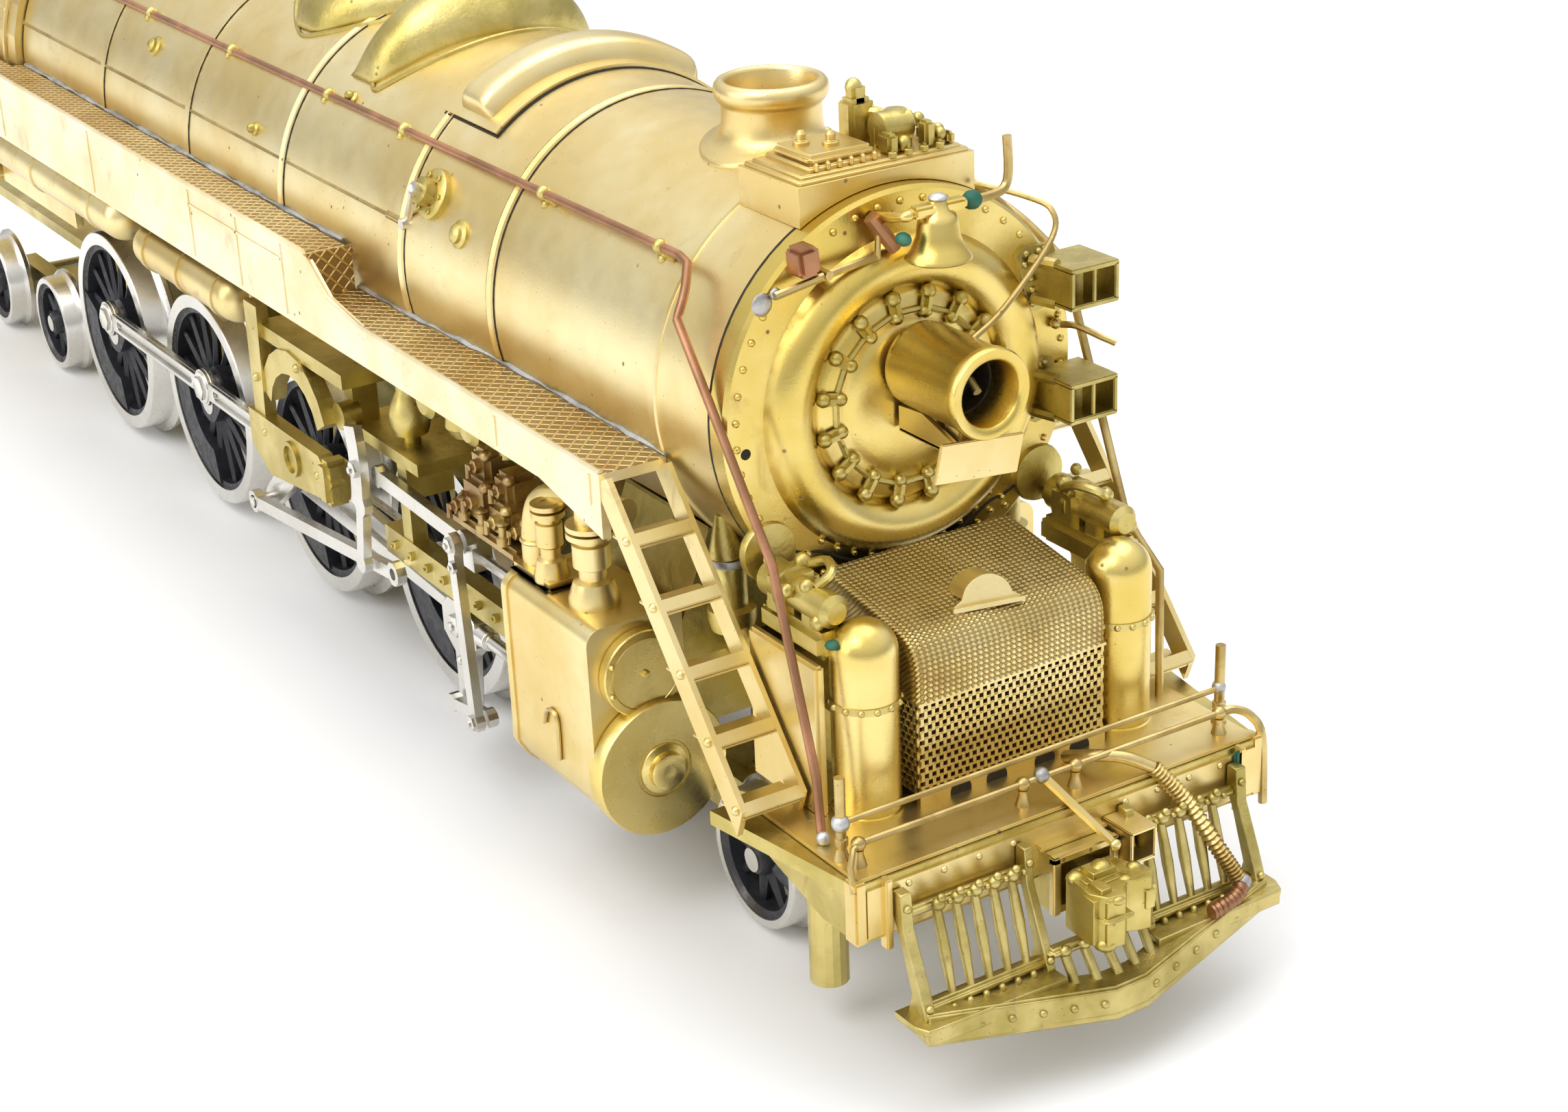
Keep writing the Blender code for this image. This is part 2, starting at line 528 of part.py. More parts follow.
def motion_bracket(side):
    """Guide bars, guide yoke and the valve-gear frame that carries the expansion link."""
    def along(outline, inner, outer, holes=()):
        return plate("Y", outline, *sorted((side * inner, side * outer)), holes)

    guide = along([(-49.5, 14.1), (-24.0, 14.1), (-24.0, 16.4), (-49.5, 16.4)], 13.6, 15.1)
    sweep = CYL_Z + 8.0         # the main rod rises this far as its crank turns
    yoke = plate("X", [(side * 11.1, 23.0), (side * 15.0, 23.0), (side * 15.0, 15.0),
                       (side * 13.7, 15.0), (side * 13.7, sweep), (side * 11.1, sweep)],
                 -46.2, -44.6)
    shelf = along([(-55.0, 22.7), (-42.0, 22.7), (-42.0, 23.7), (-55.0, 23.7)], 5.6, 15.2)
    spar = along([(-69.5, 17.6), (-66.0, 15.8), (-55.0, 17.2), (-53.2, 19.0), (-55.5, 20.8),
                  (-69.5, 20.8)], 16.4, 17.6,
                 [circle(-61.0, 18.8, 1.1, 12)])
    post = along([(-68.5, 20.0), (-66.4, 20.0), (-65.6, 30.4), (-68.2, 30.4)], 16.4, 17.4)
    hook = along([*arc(-60.5, 21.6, 6.4, 165, 18, 8), *arc(-60.5, 21.2, 4.8, 18, 165, 8)],
                 15.9, 17.2)
    tie = along([(-67.0, 27.6), (-50.5, 27.6), (-50.5, 28.8), (-67.0, 28.8)], 12.6, 17.0)
    web = along([(-55.0, 22.6), (-53.4, 22.6), (-53.4, 28.2), (-55.0, 28.2)], 12.9, 15.0)
    make(side_name("motion_bracket", side),
         combine(guide, [yoke, shelf, web, tie, post, spar, hook]), "brass")


# ---------------------------------------------------------------- wheels and running gear
def crank_pin(axle, side):
    angle = math.radians(CRANK_DEG[side])
    return (DRIVER_X[axle] + CRANK_R * math.cos(angle), DRIVER_Z + CRANK_R * math.sin(angle))


def ecc_pin(side):
    angle = math.radians(CRANK_DEG[side])
    x, z = crank_pin(MAIN, side)
    return (x - ECC_ARM * math.cos(angle), z - ECC_ARM * math.sin(angle))


def wheel_profile(side, tread, flange, inner, outer, axle):
    """Half of a wheelset, from the middle of the axle outwards."""
    rim = tread - 0.14 * tread
    half = [(0.0, axle), (inner, axle), (inner, flange), (inner + 0.7, flange),
            (inner + 1.0, tread + 0.1), (outer, tread), (outer, rim),
            (outer - 0.4, rim - 0.1), (outer - 0.4, 0.0)]
    return [(side * y, radius) for y, radius in half]


def driver(axle):
    left = wheel_profile(1, TREAD_R, FLANGE_R, WHEEL_IN, WHEEL_OUT, AXLE_R)
    right = wheel_profile(-1, TREAD_R, FLANGE_R, WHEEL_IN, WHEEL_OUT, AXLE_R)
    middle = []
    if axle == GEARED:
        middle = [(-1.6, AXLE_R), (-1.6, 5.2), (1.6, 5.2), (1.6, AXLE_R)]
    profile = right[:0:-1] + middle + left[1:]
    centre = (DRIVER_X[axle], DRIVER_Z)
    parts = []
    for side in (-1, 1):
        x, z = crank_pin(axle, side)
        reach = RETURN_CRANK[1] - 0.1 if axle == MAIN else SIDE_ROD[1] + 0.2
        parts.append(turned("Y", [(side * 9.4, 0.0), (side * 9.4, PIN_R),
                                  (side * reach, PIN_R), (side * reach, 0.0)], (x, z), 12))
        if axle == MAIN:
            ex, ez = ecc_pin(side)
            parts.append(plate("Y", bar_outline([(x, z), (ex, ez)], (1.3, 0.95), 0.75),
                               *sorted((side * RETURN_CRANK[0], side * RETURN_CRANK[1]))))
            parts.append(turned("Y", [(side * 14.0, 0.0), (side * 14.0, ECC_PIN_R),
                                      (side * (ECC_ROD[1] + 0.15), ECC_PIN_R),
                                      (side * (ECC_ROD[1] + 0.15), 0.0)], (ex, ez), 12))
    make(f"driver_{axle + 1}", combine(turned("Y", profile, centre, 24), parts), "black",
         (DRIVER_X[axle], 0.0, DRIVER_Z))


def rods(side):
    def layer(limits):
        return sorted((side * limits[0], side * limits[1]))

    pins = [crank_pin(axle, side) for axle in range(4)]
    level = pins[0][1]
    outline = []
    for x, _ in reversed(pins):
        outline += arc(x, level, 1.7, 155, 25, 5)
    for x, _ in pins:
        outline += arc(x, level, 1.7, -25, -155, 5)
    bores = [circle(x, level, PIN_R + RUN, 10) for x, _ in pins]
    x, z = pins[MAIN]
    make(side_name("side_rod", side), plate("Y", outline, *layer(SIDE_ROD), bores), "nickel",
         (x, side * 11.6, z))

    dx = crank_pin(MAIN, side)[0] - crank_pin(MAIN, -1)[0]
    wrist = (WRIST_X + dx, CYL_Z)
    make(side_name("main_rod", side),
         plate("Y", bar_outline([(x, z), wrist], (1.9, 1.3), 0.8), *layer(MAIN_ROD),
               [circle(x, z, PIN_R + RUN, 14), circle(*wrist, 0.6, 12)]), "nickel",
         (x, side * 12.8, z))

    ex, ez = ecc_pin(side)
    foot = (ex + 28.5, LINK_FOOT[1])
    make(side_name("eccentric_rod", side),
         plate("Y", bar_outline([(ex, ez), foot], (1.0, 1.0), 0.55), *layer(ECC_ROD),
               [circle(ex, ez, ECC_PIN_R + RUN, 12), circle(*foot, 0.5, 12)]), "nickel",
         (ex, side * 15.6, ez))

    body = plate("Y", [(wrist[0] - 2.6, 12.9), (wrist[0] - 2.6, 10.6), (wrist[0] - 0.9, 9.4),
                       (wrist[0] - 0.8, 4.6), (wrist[0] + 0.6, 4.6), (wrist[0] + 1.2, 9.4),
                       (wrist[0] + 2.8, 10.8), (wrist[0] + 2.8, 12.9), (wrist[0] + 1.5, 13.75),
                       (wrist[0] - 1.5, 13.75)], *layer(CROSSHEAD))
    piston_rod = turned("X", [(wrist[0] + 2.0, 0.0), (wrist[0] + 2.0, 0.55),
                              (-16.5 + dx, 0.55), (-16.5 + dx, 0.0)], (side * 14.2, CYL_Z), 12)
    make(side_name("crosshead", side), combine(body, [piston_rod]), "nickel",
         (wrist[0], side * 14.2, CYL_Z))

    shape = [*arc(LINK[0] - 14.0, LINK[1], 15.0, -14, 14, 6),
             *arc(LINK[0] - 14.0, LINK[1], 13.0, 14, -14, 6)]
    link = plate("Y", shape, *layer(LEVER))
    tail = plate("Y", bar_outline([(LINK[0] + 0.1, LINK[1] - 3.0), LINK_FOOT], (1.0, 0.9), 0.6),
                 *layer(LEVER))
    make(side_name("expansion_link", side), combine(link, [tail]), "nickel",
         (LINK[0], side * 16.6, LINK[1]))

    bar = plate("Y", bar_outline([(LINK[0] + 1.6, LINK[1] - 0.4), LEVER_TOP], (0.9, 0.9), 0.6),
                *layer(ECC_ROD))
    stem = turned("X", [(LEVER_TOP[0] - 0.4, 0.0), (LEVER_TOP[0] - 0.4, 0.45), (-18.0, 0.45),
                        (-18.0, 0.0)], (side * VALVE_Y, VALVE_Z), 12)
    block = plate("Y", [(LEVER_TOP[0] - 0.9, 18.3), (LEVER_TOP[0] + 0.9, 18.3),
                        (LEVER_TOP[0] + 0.7, 20.8), (LEVER_TOP[0] - 0.7, 20.8)],
                  *sorted((side * 14.0, side * 15.6)))
    make(side_name("radius_rod", side), combine(bar, [stem, block]), "nickel",
         (LINK[0], side * 15.6, LINK[1]))

    make(side_name("combination_lever", side),
         plate("Y", bar_outline([LEVER_TOP, LEVER_FOOT], (0.9, 0.8), 0.55), *layer(LEVER)),
         "nickel", (LEVER_TOP[0], side * 16.6, LEVER_TOP[1]))
    rear = (wrist[0] - 0.1, 5.6)
    make(side_name("union_link", side),
         plate("Y", bar_outline([rear, LEVER_FOOT], (0.75, 0.75), 0.45), *layer(ECC_ROD)),
         "nickel", (LEVER_FOOT[0], side * 15.6, LEVER_FOOT[1]))


def truck_wheelset(name, x):
    left = wheel_profile(1, TRUCK_TREAD_R, TRUCK_R, WHEEL_IN, 9.9, TRUCK_AXLE_R)
    right = wheel_profile(-1, TRUCK_TREAD_R, TRUCK_R, WHEEL_IN, 9.9, TRUCK_AXLE_R)
    make(name, turned("Y", right[:0:-1] + left[1:], (x, TRUCK_R), 20), "black",
         (x, 0.0, TRUCK_R))


def truck_frame(name, axles, pivot_x, hole_r, tongue):
    """Inside frame with a cheek each side, a bolster and the swivel plate."""
    bearing = [circle(x, TRUCK_R, TRUCK_AXLE_R + RUN, 12) for x in axles]
    front, back = max(axles) + 2.0, min(axles) - 2.0
    cheeks = [plate("Y", [(back, 3.8), (front, 3.8), (front, 7.2), (back, 7.2)],
                    *sorted((side * 4.4, side * 6.4)), bearing) for side in (-1, 1)]
    middle = (max(axles) + min(axles)) / 2.0
    bolster = box(middle - 3.0, middle + 3.0, -5.0, 5.0, 5.0, 7.4)
    pad = turned("Z", [(6.7, 0.0), (6.7, 2.2), (7.7, 2.2), (7.7, 0.0)], (pivot_x, 0.0), 16)
    parts = [cheeks[1], bolster, pad]
    if tongue:
        parts.append(box(middle, pivot_x, -1.8, 1.8, 6.7, 7.6))
    hole = turned("Z", [(4.5, 0.0), (4.5, hole_r), (9.0, hole_r), (9.0, 0.0)], (pivot_x, 0.0), 12)
    solid = combine(combine(cheeks[0], parts), [hole], "DIFFERENCE")
    make(name, solid, "brass", (pivot_x, 0.0, 7.0))


def main():
    clear_scene()
    boiler()
    smokebox_fittings()
    domes()
    cab()
    front_end()
    front_tanks()
    chassis()
    for side in (-1, 1):
        running_board(side)
        ladder(side)
        cylinder(side)
        motion_bracket(side)
        rods(side)
    for axle in range(4):
        driver(axle)
    for i, x in enumerate(LEAD_X):
        truck_wheelset(f"lead_wheelset_{i + 1}", x)
    for i, x in enumerate(TRAIL_X):
        truck_wheelset(f"trailing_wheelset_{i + 1}", x)
    truck_frame("lead_truck_frame", LEAD_X, -16.0, 1.1, False)
    truck_frame("trailing_truck_frame", TRAIL_X, -136.0, 0.9, True)


main()
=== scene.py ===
"""Visual model of the brass steam locomotive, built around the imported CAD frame.

Every shape is drawn in millimetres in the engine's drawing frame: x runs forward from the
smokebox front, y to the engine's left, z up from the rail. piece() moves it to the row frame.
"""
import json
from math import acos, atan2, cos, degrees, hypot, pi, radians, sin, sqrt, tau

import bmesh
import bpy
from mathutils import Matrix, Vector
from mathutils.geometry import tessellate_polygon


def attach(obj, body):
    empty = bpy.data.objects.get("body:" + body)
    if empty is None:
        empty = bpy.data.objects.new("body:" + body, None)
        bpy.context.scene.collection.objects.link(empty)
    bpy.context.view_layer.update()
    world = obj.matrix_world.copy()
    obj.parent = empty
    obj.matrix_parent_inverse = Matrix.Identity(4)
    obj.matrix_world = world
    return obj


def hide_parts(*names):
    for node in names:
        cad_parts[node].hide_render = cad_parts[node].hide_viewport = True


# ---------------------------------------------------------------- driving dimensions, mm
FRONT_X = 84.4                  # smokebox front, ahead of the middle of the engine
BOILER_Z = 38.3                 # boiler centre line
BARREL = [(-1.9, 13.4), (-30.5, 13.6), (-43.5, 14.2), (-65.0, 14.4), (-127.5, 14.4)]
BANDS = (-8.6, -30.5, -43.5, -65.0, -85.0, -105.5)
BAND_W, BAND_H = 0.8, 0.14
STACK_X = -14.4
HEADLIGHT_Z = 40.85
DRIVER_X = (-49.0, -74.0, -99.0, -124.0)
DRIVER_Z = 11.0
MAIN = 1                        # index of the driver that the main rods turn
CRANK_R = 4.0
CRANK_DEG = {-1: 38.0, 1: -52.0}
ECC_ARM = 5.8
WRIST_X = -38.1
LEAD_X = (-4.7, -27.3)
TRAIL_X = (-147.0, -166.0)
TRUCK_Z = 5.5                   # axles of both trucks
INNER_FACE = 7.25               # inner face of every wheel, from the centre line
CYL_Y, CYL_Z = 13.9, 11.9       # main cylinder
VALVE_Y, VALVE_Z = 14.6, 19.0   # valve chest above it
GUIDE_Y = 14.2                  # piston rod and crosshead
DECK_Z = 15.7
BOARD_Z, BOARD_HIGH_Z = 34.7, 38.2
LADDER_STEPS = 5
DOOR_CLAMPS, RIM_RIVETS = 16, 46
TANK_X, TANK_Y = 9.4, 9.9       # reservoirs on the deck
STACK_SIDES = 72
RAIL_Y, RAIL_Z = 11.4, 47.8     # boiler handrail
SIDES = {-1: "right", 1: "left"}

# camera: angles in degrees, place in the drawing frame
CAM_AZ, CAM_EL, CAM_ROLL = -31.965, 23.908, -2.334
CAM_AT = (132.337, -92.017, 98.680)
CAM_LENS = 62.29

X, Y, Z = Vector((1, 0, 0)), Vector((0, 1, 0)), Vector((0, 0, 1))
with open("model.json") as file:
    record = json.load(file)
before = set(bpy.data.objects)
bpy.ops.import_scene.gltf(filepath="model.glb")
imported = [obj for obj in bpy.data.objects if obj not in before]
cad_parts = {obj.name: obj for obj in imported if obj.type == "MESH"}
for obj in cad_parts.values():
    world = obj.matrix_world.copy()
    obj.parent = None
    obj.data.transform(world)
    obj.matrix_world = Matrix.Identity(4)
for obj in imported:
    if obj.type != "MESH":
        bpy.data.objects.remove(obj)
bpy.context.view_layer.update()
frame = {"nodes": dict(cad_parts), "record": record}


# ---------------------------------------------------------------- mesh helpers
def rim(centre, axis, radius, count, start=0.0):
    """Points of a circle about an axis."""
    axis = Vector(axis).normalized()
    u = Z.cross(axis) if abs(axis.z) < 0.9 else X.cross(axis)
    u.normalize()
    v = axis.cross(u)
    return [Vector(centre) + radius * (u * cos(start + i * tau / count)
                                       + v * sin(start + i * tau / count))
            for i in range(count)]


def skin(bm, rings, closed=False, caps=True):
    """Joins rings of points by faces. A ring of one point is a tip."""
    made = [[bm.verts.new(p) for p in ring] for ring in rings]
    pairs = list(zip(made, made[1:]))
    if closed:
        pairs.append((made[-1], made[0]))
    faces = []
    for one, two in pairs:
        count = max(len(one), len(two))
        for i in range(count):
            j = (i + 1) % count
            corners = [one[i % len(one)], one[j % len(one)],
                       two[j % len(two)], two[i % len(two)]]
            faces.append(bm.faces.new(list(dict.fromkeys(corners))))
    if caps and not closed:
        for ring in (made[0], made[-1]):
            if len(ring) > 2:
                faces.append(bm.faces.new(ring))
    bmesh.ops.recalc_face_normals(bm, faces=faces)
    return faces


def lathe(bm, profile, base=(0, 0, 0), axis=X, count=48, closed=False):
    """Turned shape: profile of (distance along the axis, radius)."""
    axis = Vector(axis).normalized()
    base = Vector(base)
    return skin(bm, [[base + axis * a] if r == 0 else rim(base + axis * a, axis, r, count)
                     for a, r in profile], closed)


def prism(bm, outline, axis, lo, hi, holes=()):
    """Flat plate: outline with holes, extruded along an axis letter between two levels."""
    lo, hi = sorted((lo, hi))

    def at(a, b, depth):
        return {"X": (depth, a, b), "Y": (a, depth, b), "Z": (a, b, depth)}[axis]
    loops = [list(outline), *[list(h) for h in holes]]
    flat = [p for loop in loops for p in loop]
    low = [bm.verts.new(at(a, b, lo)) for a, b in flat]
    top = [bm.verts.new(at(a, b, hi)) for a, b in flat]
    faces = []
    for tri in tessellate_polygon([[Vector((a, b, 0)) for a, b in loop] for loop in loops]):
        faces.append(bm.faces.new([low[i] for i in tri]))
        faces.append(bm.faces.new([top[i] for i in reversed(tri)]))
    start = 0
    for loop in loops:
        for i in range(len(loop)):
            j = start + (i + 1) % len(loop)
            faces.append(bm.faces.new([low[start + i], low[j], top[j], top[start + i]]))
        start += len(loop)
    bmesh.ops.recalc_face_normals(bm, faces=faces)
    return faces


def block(bm, lo, hi, bevel=0.15, turn=None):
    """Box between two corners in any order, with rounded edges and an optional turn."""
    part = bmesh.new()
    (x0, x1), (y0, y1), (z0, z1) = (sorted(pair) for pair in zip(lo, hi))
    prism(part, [(x0, y0), (x1, y0), (x1, y1), (x0, y1)], "Z", z0, z1)
    if bevel:
        bmesh.ops.dissolve_limit(part, angle_limit=0.01, verts=part.verts, edges=part.edges)
        bmesh.ops.bevel(part, geom=part.edges[:], offset=bevel, segments=2, affect="EDGES")
    merge(bm, part, turn)


def merge(bm, part, matrix=None):
    """Adds one bmesh to another, through an optional matrix."""
    if matrix is not None:
        bmesh.ops.transform(part, matrix=matrix, verts=part.verts)
    mesh = bpy.data.meshes.new("part")
    part.to_mesh(mesh)
    part.free()
    bm.from_mesh(mesh)
    bpy.data.meshes.remove(mesh)


def curve(points, steps=8):
    """Smooth line through the points."""
    p = [Vector(q) for q in points]
    p = [2 * p[0] - p[1], *p, 2 * p[-1] - p[-2]]
    out = []
    for a, b, c, d in zip(p, p[1:], p[2:], p[3:]):
        for i in range(steps):
            t = i / steps
            out.append(0.5 * (2 * b + (c - a) * t + (2 * a - 5 * b + 4 * c - d) * t * t
                              + (3 * b - a - 3 * c + d) * t ** 3))
    return [*out, p[-2]]


def tube(bm, points, radius, sides=10, steps=0):
    """Round wire through the points. radius is a number or a rule of the share 0..1."""
    pts = curve(points, steps) if steps else [Vector(p) for p in points]
    rule = radius if callable(radius) else (lambda t: radius)
    rings, side = [], None
    for i, p in enumerate(pts):
        ahead = (pts[min(i + 1, len(pts) - 1)] - pts[max(i - 1, 0)]).normalized()
        side = ahead.orthogonal() if side is None else side - ahead * side.dot(ahead)
        side.normalize()
        up = ahead.cross(side)
        r = rule(i / (len(pts) - 1))
        rings.append([p + r * (side * cos(k * tau / sides)
                               + up * sin(k * tau / sides)) for k in range(sides)])
    return skin(bm, rings)


def ball(bm, centre, radius, axis=Z, squash=1.0, count=12):
    """Round or flattened ball, squashed along its axis."""
    half = [(-squash * radius * cos(pi * i / 8), radius * sin(pi * i / 8))
            for i in range(1, 8)]
    lathe(bm, [(-squash * radius, 0), *half, (squash * radius, 0)], centre, axis, count)


def rivet(bm, at, normal, radius=0.26, height=0.2, count=8):
    """Domed rivet head on a surface."""
    lathe(bm, [(-0.05, radius), (0.4 * height, radius * 0.92), (0.8 * height, radius * 0.6),
               (height, 0)], at, normal, count)


def bolt(bm, at, normal, radius=0.4, height=0.35):
    """Hexagon nut with the end of its stud."""
    lathe(bm, [(-0.05, radius), (height * 0.85, radius), (height, radius * 0.8), (height, 0)],
          at, normal, 6)
    lathe(bm, [(height * 0.5, radius * 0.45), (height * 1.5, radius * 0.4),
               (height * 1.6, 0)], at, normal, 8)


def arc(a, b, radius, deg0, deg1, count):
    """Points of an arc about (a, b)."""
    steps = [radians(deg0 + (deg1 - deg0) * i / count) for i in range(count + 1)]
    return [(a + radius * cos(t), b + radius * sin(t)) for t in steps]


def circle(a, b, radius, count=24):
    """Points of a full circle about (a, b)."""
    return arc(a, b, radius, 0, 360 * (1 - 1 / count), count - 1)


def on_boiler(x, deg, above=0.0):
    """Point on the barrel at an angle from the engine's left, and its outward normal."""
    t = radians(deg)
    r = barrel_r(x) + above
    return Vector((x, r * cos(t), BOILER_Z + r * sin(t))), \
        Vector((0, cos(t), sin(t)))


def hoop(x, radius, angles, centre_z=BOILER_Z):
    """Points round a line that runs along X, at the given angles in degrees."""
    return [(x, radius * cos(radians(a)), centre_z + radius * sin(radians(a)))
            for a in angles]


def barrel_r(x):
    """Radius of the barrel at a station."""
    for (xa, ra), (xb, rb) in zip(BARREL, BARREL[1:]):
        if x >= xb:
            return ra + (rb - ra) * min(1.0, max(0.0, (xa - x) / (xa - xb)))
    return BARREL[-1][1]


def piece(name, bm, look, body="locomotive", replaces=(), bevel=0.0, angle=38):
    """Makes the object of a finished mesh, and says which body it rides on.

    A face edge sharper than the angle stays sharp. The look also gives the material slot.
    """
    mesh = bpy.data.meshes.new(name)
    bmesh.ops.transform(bm, matrix=Matrix.Scale(0.001, 4) @ Matrix.Translation((FRONT_X, 0, 0)),
                        verts=bm.verts)
    for edge in bm.edges:
        if len(edge.link_faces) == 2:
            edge.smooth = edge.calc_face_angle(0.0) < radians(angle)
    for face in bm.faces:
        face.smooth = True
    bm.to_mesh(mesh)
    bm.free()
    mesh.materials.append(look)
    obj = bpy.data.objects.new(name, mesh)
    bpy.context.scene.collection.objects.link(obj)
    if bevel:
        soften(obj, bevel)
    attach(obj, body)
    if replaces:
        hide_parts(*([replaces] if isinstance(replaces, str) else replaces))


def soften(obj, width):
    """Rounds the sharp edges a little, so that they catch the light."""
    mod = obj.modifiers.new("Edges", "BEVEL")
    mod.width = width * 0.001
    mod.segments = 2
    mod.limit_method = "ANGLE"
    mod.angle_limit = radians(42)
    mod.use_clamp_overlap = True


# ---------------------------------------------------------------- materials
class Nodes:
    """Short way to add and join shader nodes."""

    def __init__(self, name):
        self.material = bpy.data.materials.new(name)
        self.material.use_nodes = True
        self.tree = self.material.node_tree
        self.out = self.tree.nodes["Principled BSDF"]
        self.mm = self.add("ShaderNodeMapping", Vector=self.add("ShaderNodeTexCoord", 3))
        self.tree.nodes[-1].inputs["Scale"].default_value = (1000, 1000, 1000)

    def add(self, kind, pick=0, **inputs):
        """Adds a node with its inputs set or joined, and returns one of its outputs."""
        node = self.tree.nodes.new(kind)
        for key in list(inputs):
            if key.startswith("_"):
                setattr(node, key[1:], inputs.pop(key))
        for key, value in inputs.items():
            socket = node.inputs[int(key[1:])] if key[1:].isdigit() else \
                node.inputs[key.replace("_", " ")]
            if hasattr(value, "links"):
                self.tree.links.new(value, socket)
            else:
                socket.default_value = value
        return node.outputs[pick]

    def noise(self, scale, detail=3.0, rough=0.55, distort=0.0):
        """Noise with its scale in cells per millimetre."""
        return self.add("ShaderNodeTexNoise", 0, Vector=self.mm, Scale=scale, Detail=detail,
                        Roughness=rough, Distortion=distort)

    def ramp(self, factor, lo, hi, to_lo=0.0, to_hi=1.0):
        """Smooth step from one level to another."""
        return self.add("ShaderNodeMapRange", 0, Value=factor, From_Min=lo, From_Max=hi,
                        To_Min=to_lo, To_Max=to_hi, _interpolation_type="SMOOTHSTEP")

    def math(self, op, a, b=0.0):
        return self.add("ShaderNodeMath", 0, i0=a, i1=b, _operation=op)

    def times(self, a, b):
        return self.math("MULTIPLY", a, b)

    def plus(self, a, b):
        return self.math("ADD", a, b)

    def minus(self, a, b):
        return self.math("SUBTRACT", a, b)

    def mix(self, factor, a, b, blend="MIX"):
        """Blends two colours."""
        return self.add("ShaderNodeMix", 2, i0=factor, i6=a, i7=b, _data_type="RGBA",
                        _blend_type=blend)

    def specks(self, scale, size, share):
        """Mask of scattered round specks: a share of the cells holds one."""
        node = self.tree.nodes.new("ShaderNodeTexVoronoi")
        node.inputs["Scale"].default_value = scale
        self.tree.links.new(self.mm, node.inputs["Vector"])
        spot = self.ramp(node.outputs["Distance"], size, size * 0.55)
        pick = self.add("ShaderNodeSeparateColor", 0, i0=node.outputs["Color"])
        return self.times(spot, self.math("GREATER_THAN", pick, 1.0 - share))

    def up(self):
        """How far the surface faces up: -1 to 1."""
        return self.add("ShaderNodeSeparateXYZ", 2, i0=self.add("ShaderNodeNewGeometry", 1))

    def finish(self, colour, rough, bump, strength, metallic=1.0, distance=0.00008):
        """Joins colour, roughness, metal and bump to the shader; bump distance in metres."""
        for socket, value in (("Base Color", colour), ("Roughness", rough),
                              ("Metallic", metallic)):
            if hasattr(value, "links"):
                self.tree.links.new(value, self.out.inputs[socket])
            else:
                self.out.inputs[socket].default_value = value
        self.tree.links.new(self.add("ShaderNodeBump", 0, Height=bump, Strength=strength,
                                     Distance=distance), self.out.inputs["Normal"])
        return self.material


def rgb(r, g, b):
    """Opaque colour."""
    return (r, g, b, 1.0)


def metal(name, pale, deep, rough=0.34, stain=rgb(0.30, 0.14, 0.07), stained=0.5,
          speck=0.16, grain=0.25, lumps=0.0, low=0.45, scale=1.0):
    """Bare metal: two tones, stains, scattered specks, and undersides darkened by painted shade
    mixed with grime.
    """
    n = Nodes(name)
    tone = n.ramp(n.noise(0.07 * scale, 4, 0.6), 0.36, 0.64)
    colour = n.mix(tone, pale, deep)
    patch = n.ramp(n.noise(0.16 * scale, 6, 0.68, 0.6), 0.56, 0.78, 0.0, stained)
    colour = n.mix(patch, colour, stain)
    # Downward-facing surfaces are darkened towards deep brown, by up to low: painted shade, partly
    # grime.
    underside_shade_and_grime = n.ramp(n.up(), 0.35, -0.8, 0.0, low)
    colour = n.mix(underside_shade_and_grime, colour, n.mix(0.55, deep, rgb(0.16, 0.10, 0.03)))
    spots = n.times(n.specks(0.9, 0.16, speck), n.ramp(n.noise(0.12), 0.4, 0.6))
    tiny = n.times(n.specks(2.6, 0.17, speck * 0.8), 0.6)
    dirt = n.math("MAXIMUM", spots, tiny)
    colour = n.mix(n.times(dirt, 0.75), colour, rgb(0.20, 0.11, 0.06))
    fine = n.noise(5.0, 5, 0.7)
    rough_out = n.plus(n.ramp(n.noise(0.5, 4), 0.3, 0.7, rough - 0.02, rough + 0.03),
                       n.times(n.math("MAXIMUM", patch, dirt), 0.35))
    height = n.plus(n.times(fine, grain),
                    n.times(n.noise(0.8, 3), lumps))
    return n.finish(colour, rough_out, n.minus(height, n.times(dirt, 0.2)),
                    0.55)


def patterned(name, pale, deep, kind):
    """Brass sheet with a raised pattern: diamond tread, or the dimples of the guard."""
    n = Nodes(name)
    sx, sy, sz = (n.add("ShaderNodeSeparateXYZ", i, i0=n.mm) for i in range(3))
    if kind == "tread":
        along, across = n.plus(sx, sz), sy
        a = n.math("SINE", n.times(n.plus(along, across), 5.6))
        b = n.math("SINE", n.times(n.minus(along, across), 5.6))
        cell = n.ramp(n.math("MAXIMUM", a, b), 0.55, 0.98)
        depth = 0.0001
    else:
        along, across = n.minus(sx, n.times(sz, 1.15)), sy
        a = n.math("SINE", n.times(n.plus(along, across), 7.4))
        b = n.math("SINE", n.times(n.minus(along, across), 7.4))
        cell = n.ramp(n.times(a, b), -0.5, 0.6)
        depth = 0.00022
    tone = n.ramp(n.noise(0.1, 4, 0.6), 0.35, 0.65)
    colour = n.mix(tone, pale, deep)
    # The pattern's low parts are darkened towards brown: painted shade in its hollows.
    colour = n.mix(n.ramp(cell, 0.0, 1.0, 0.6, 0.0), colour, rgb(0.17, 0.09, 0.03))
    colour = n.mix(n.ramp(n.noise(0.2, 6, 0.7), 0.55, 0.75, 0, 0.5), colour,
                   rgb(0.28, 0.14, 0.07))
    rough = n.ramp(n.noise(0.8, 4), 0.3, 0.7, 0.32, 0.5)
    return n.finish(colour, rough, cell, 0.9, distance=depth)


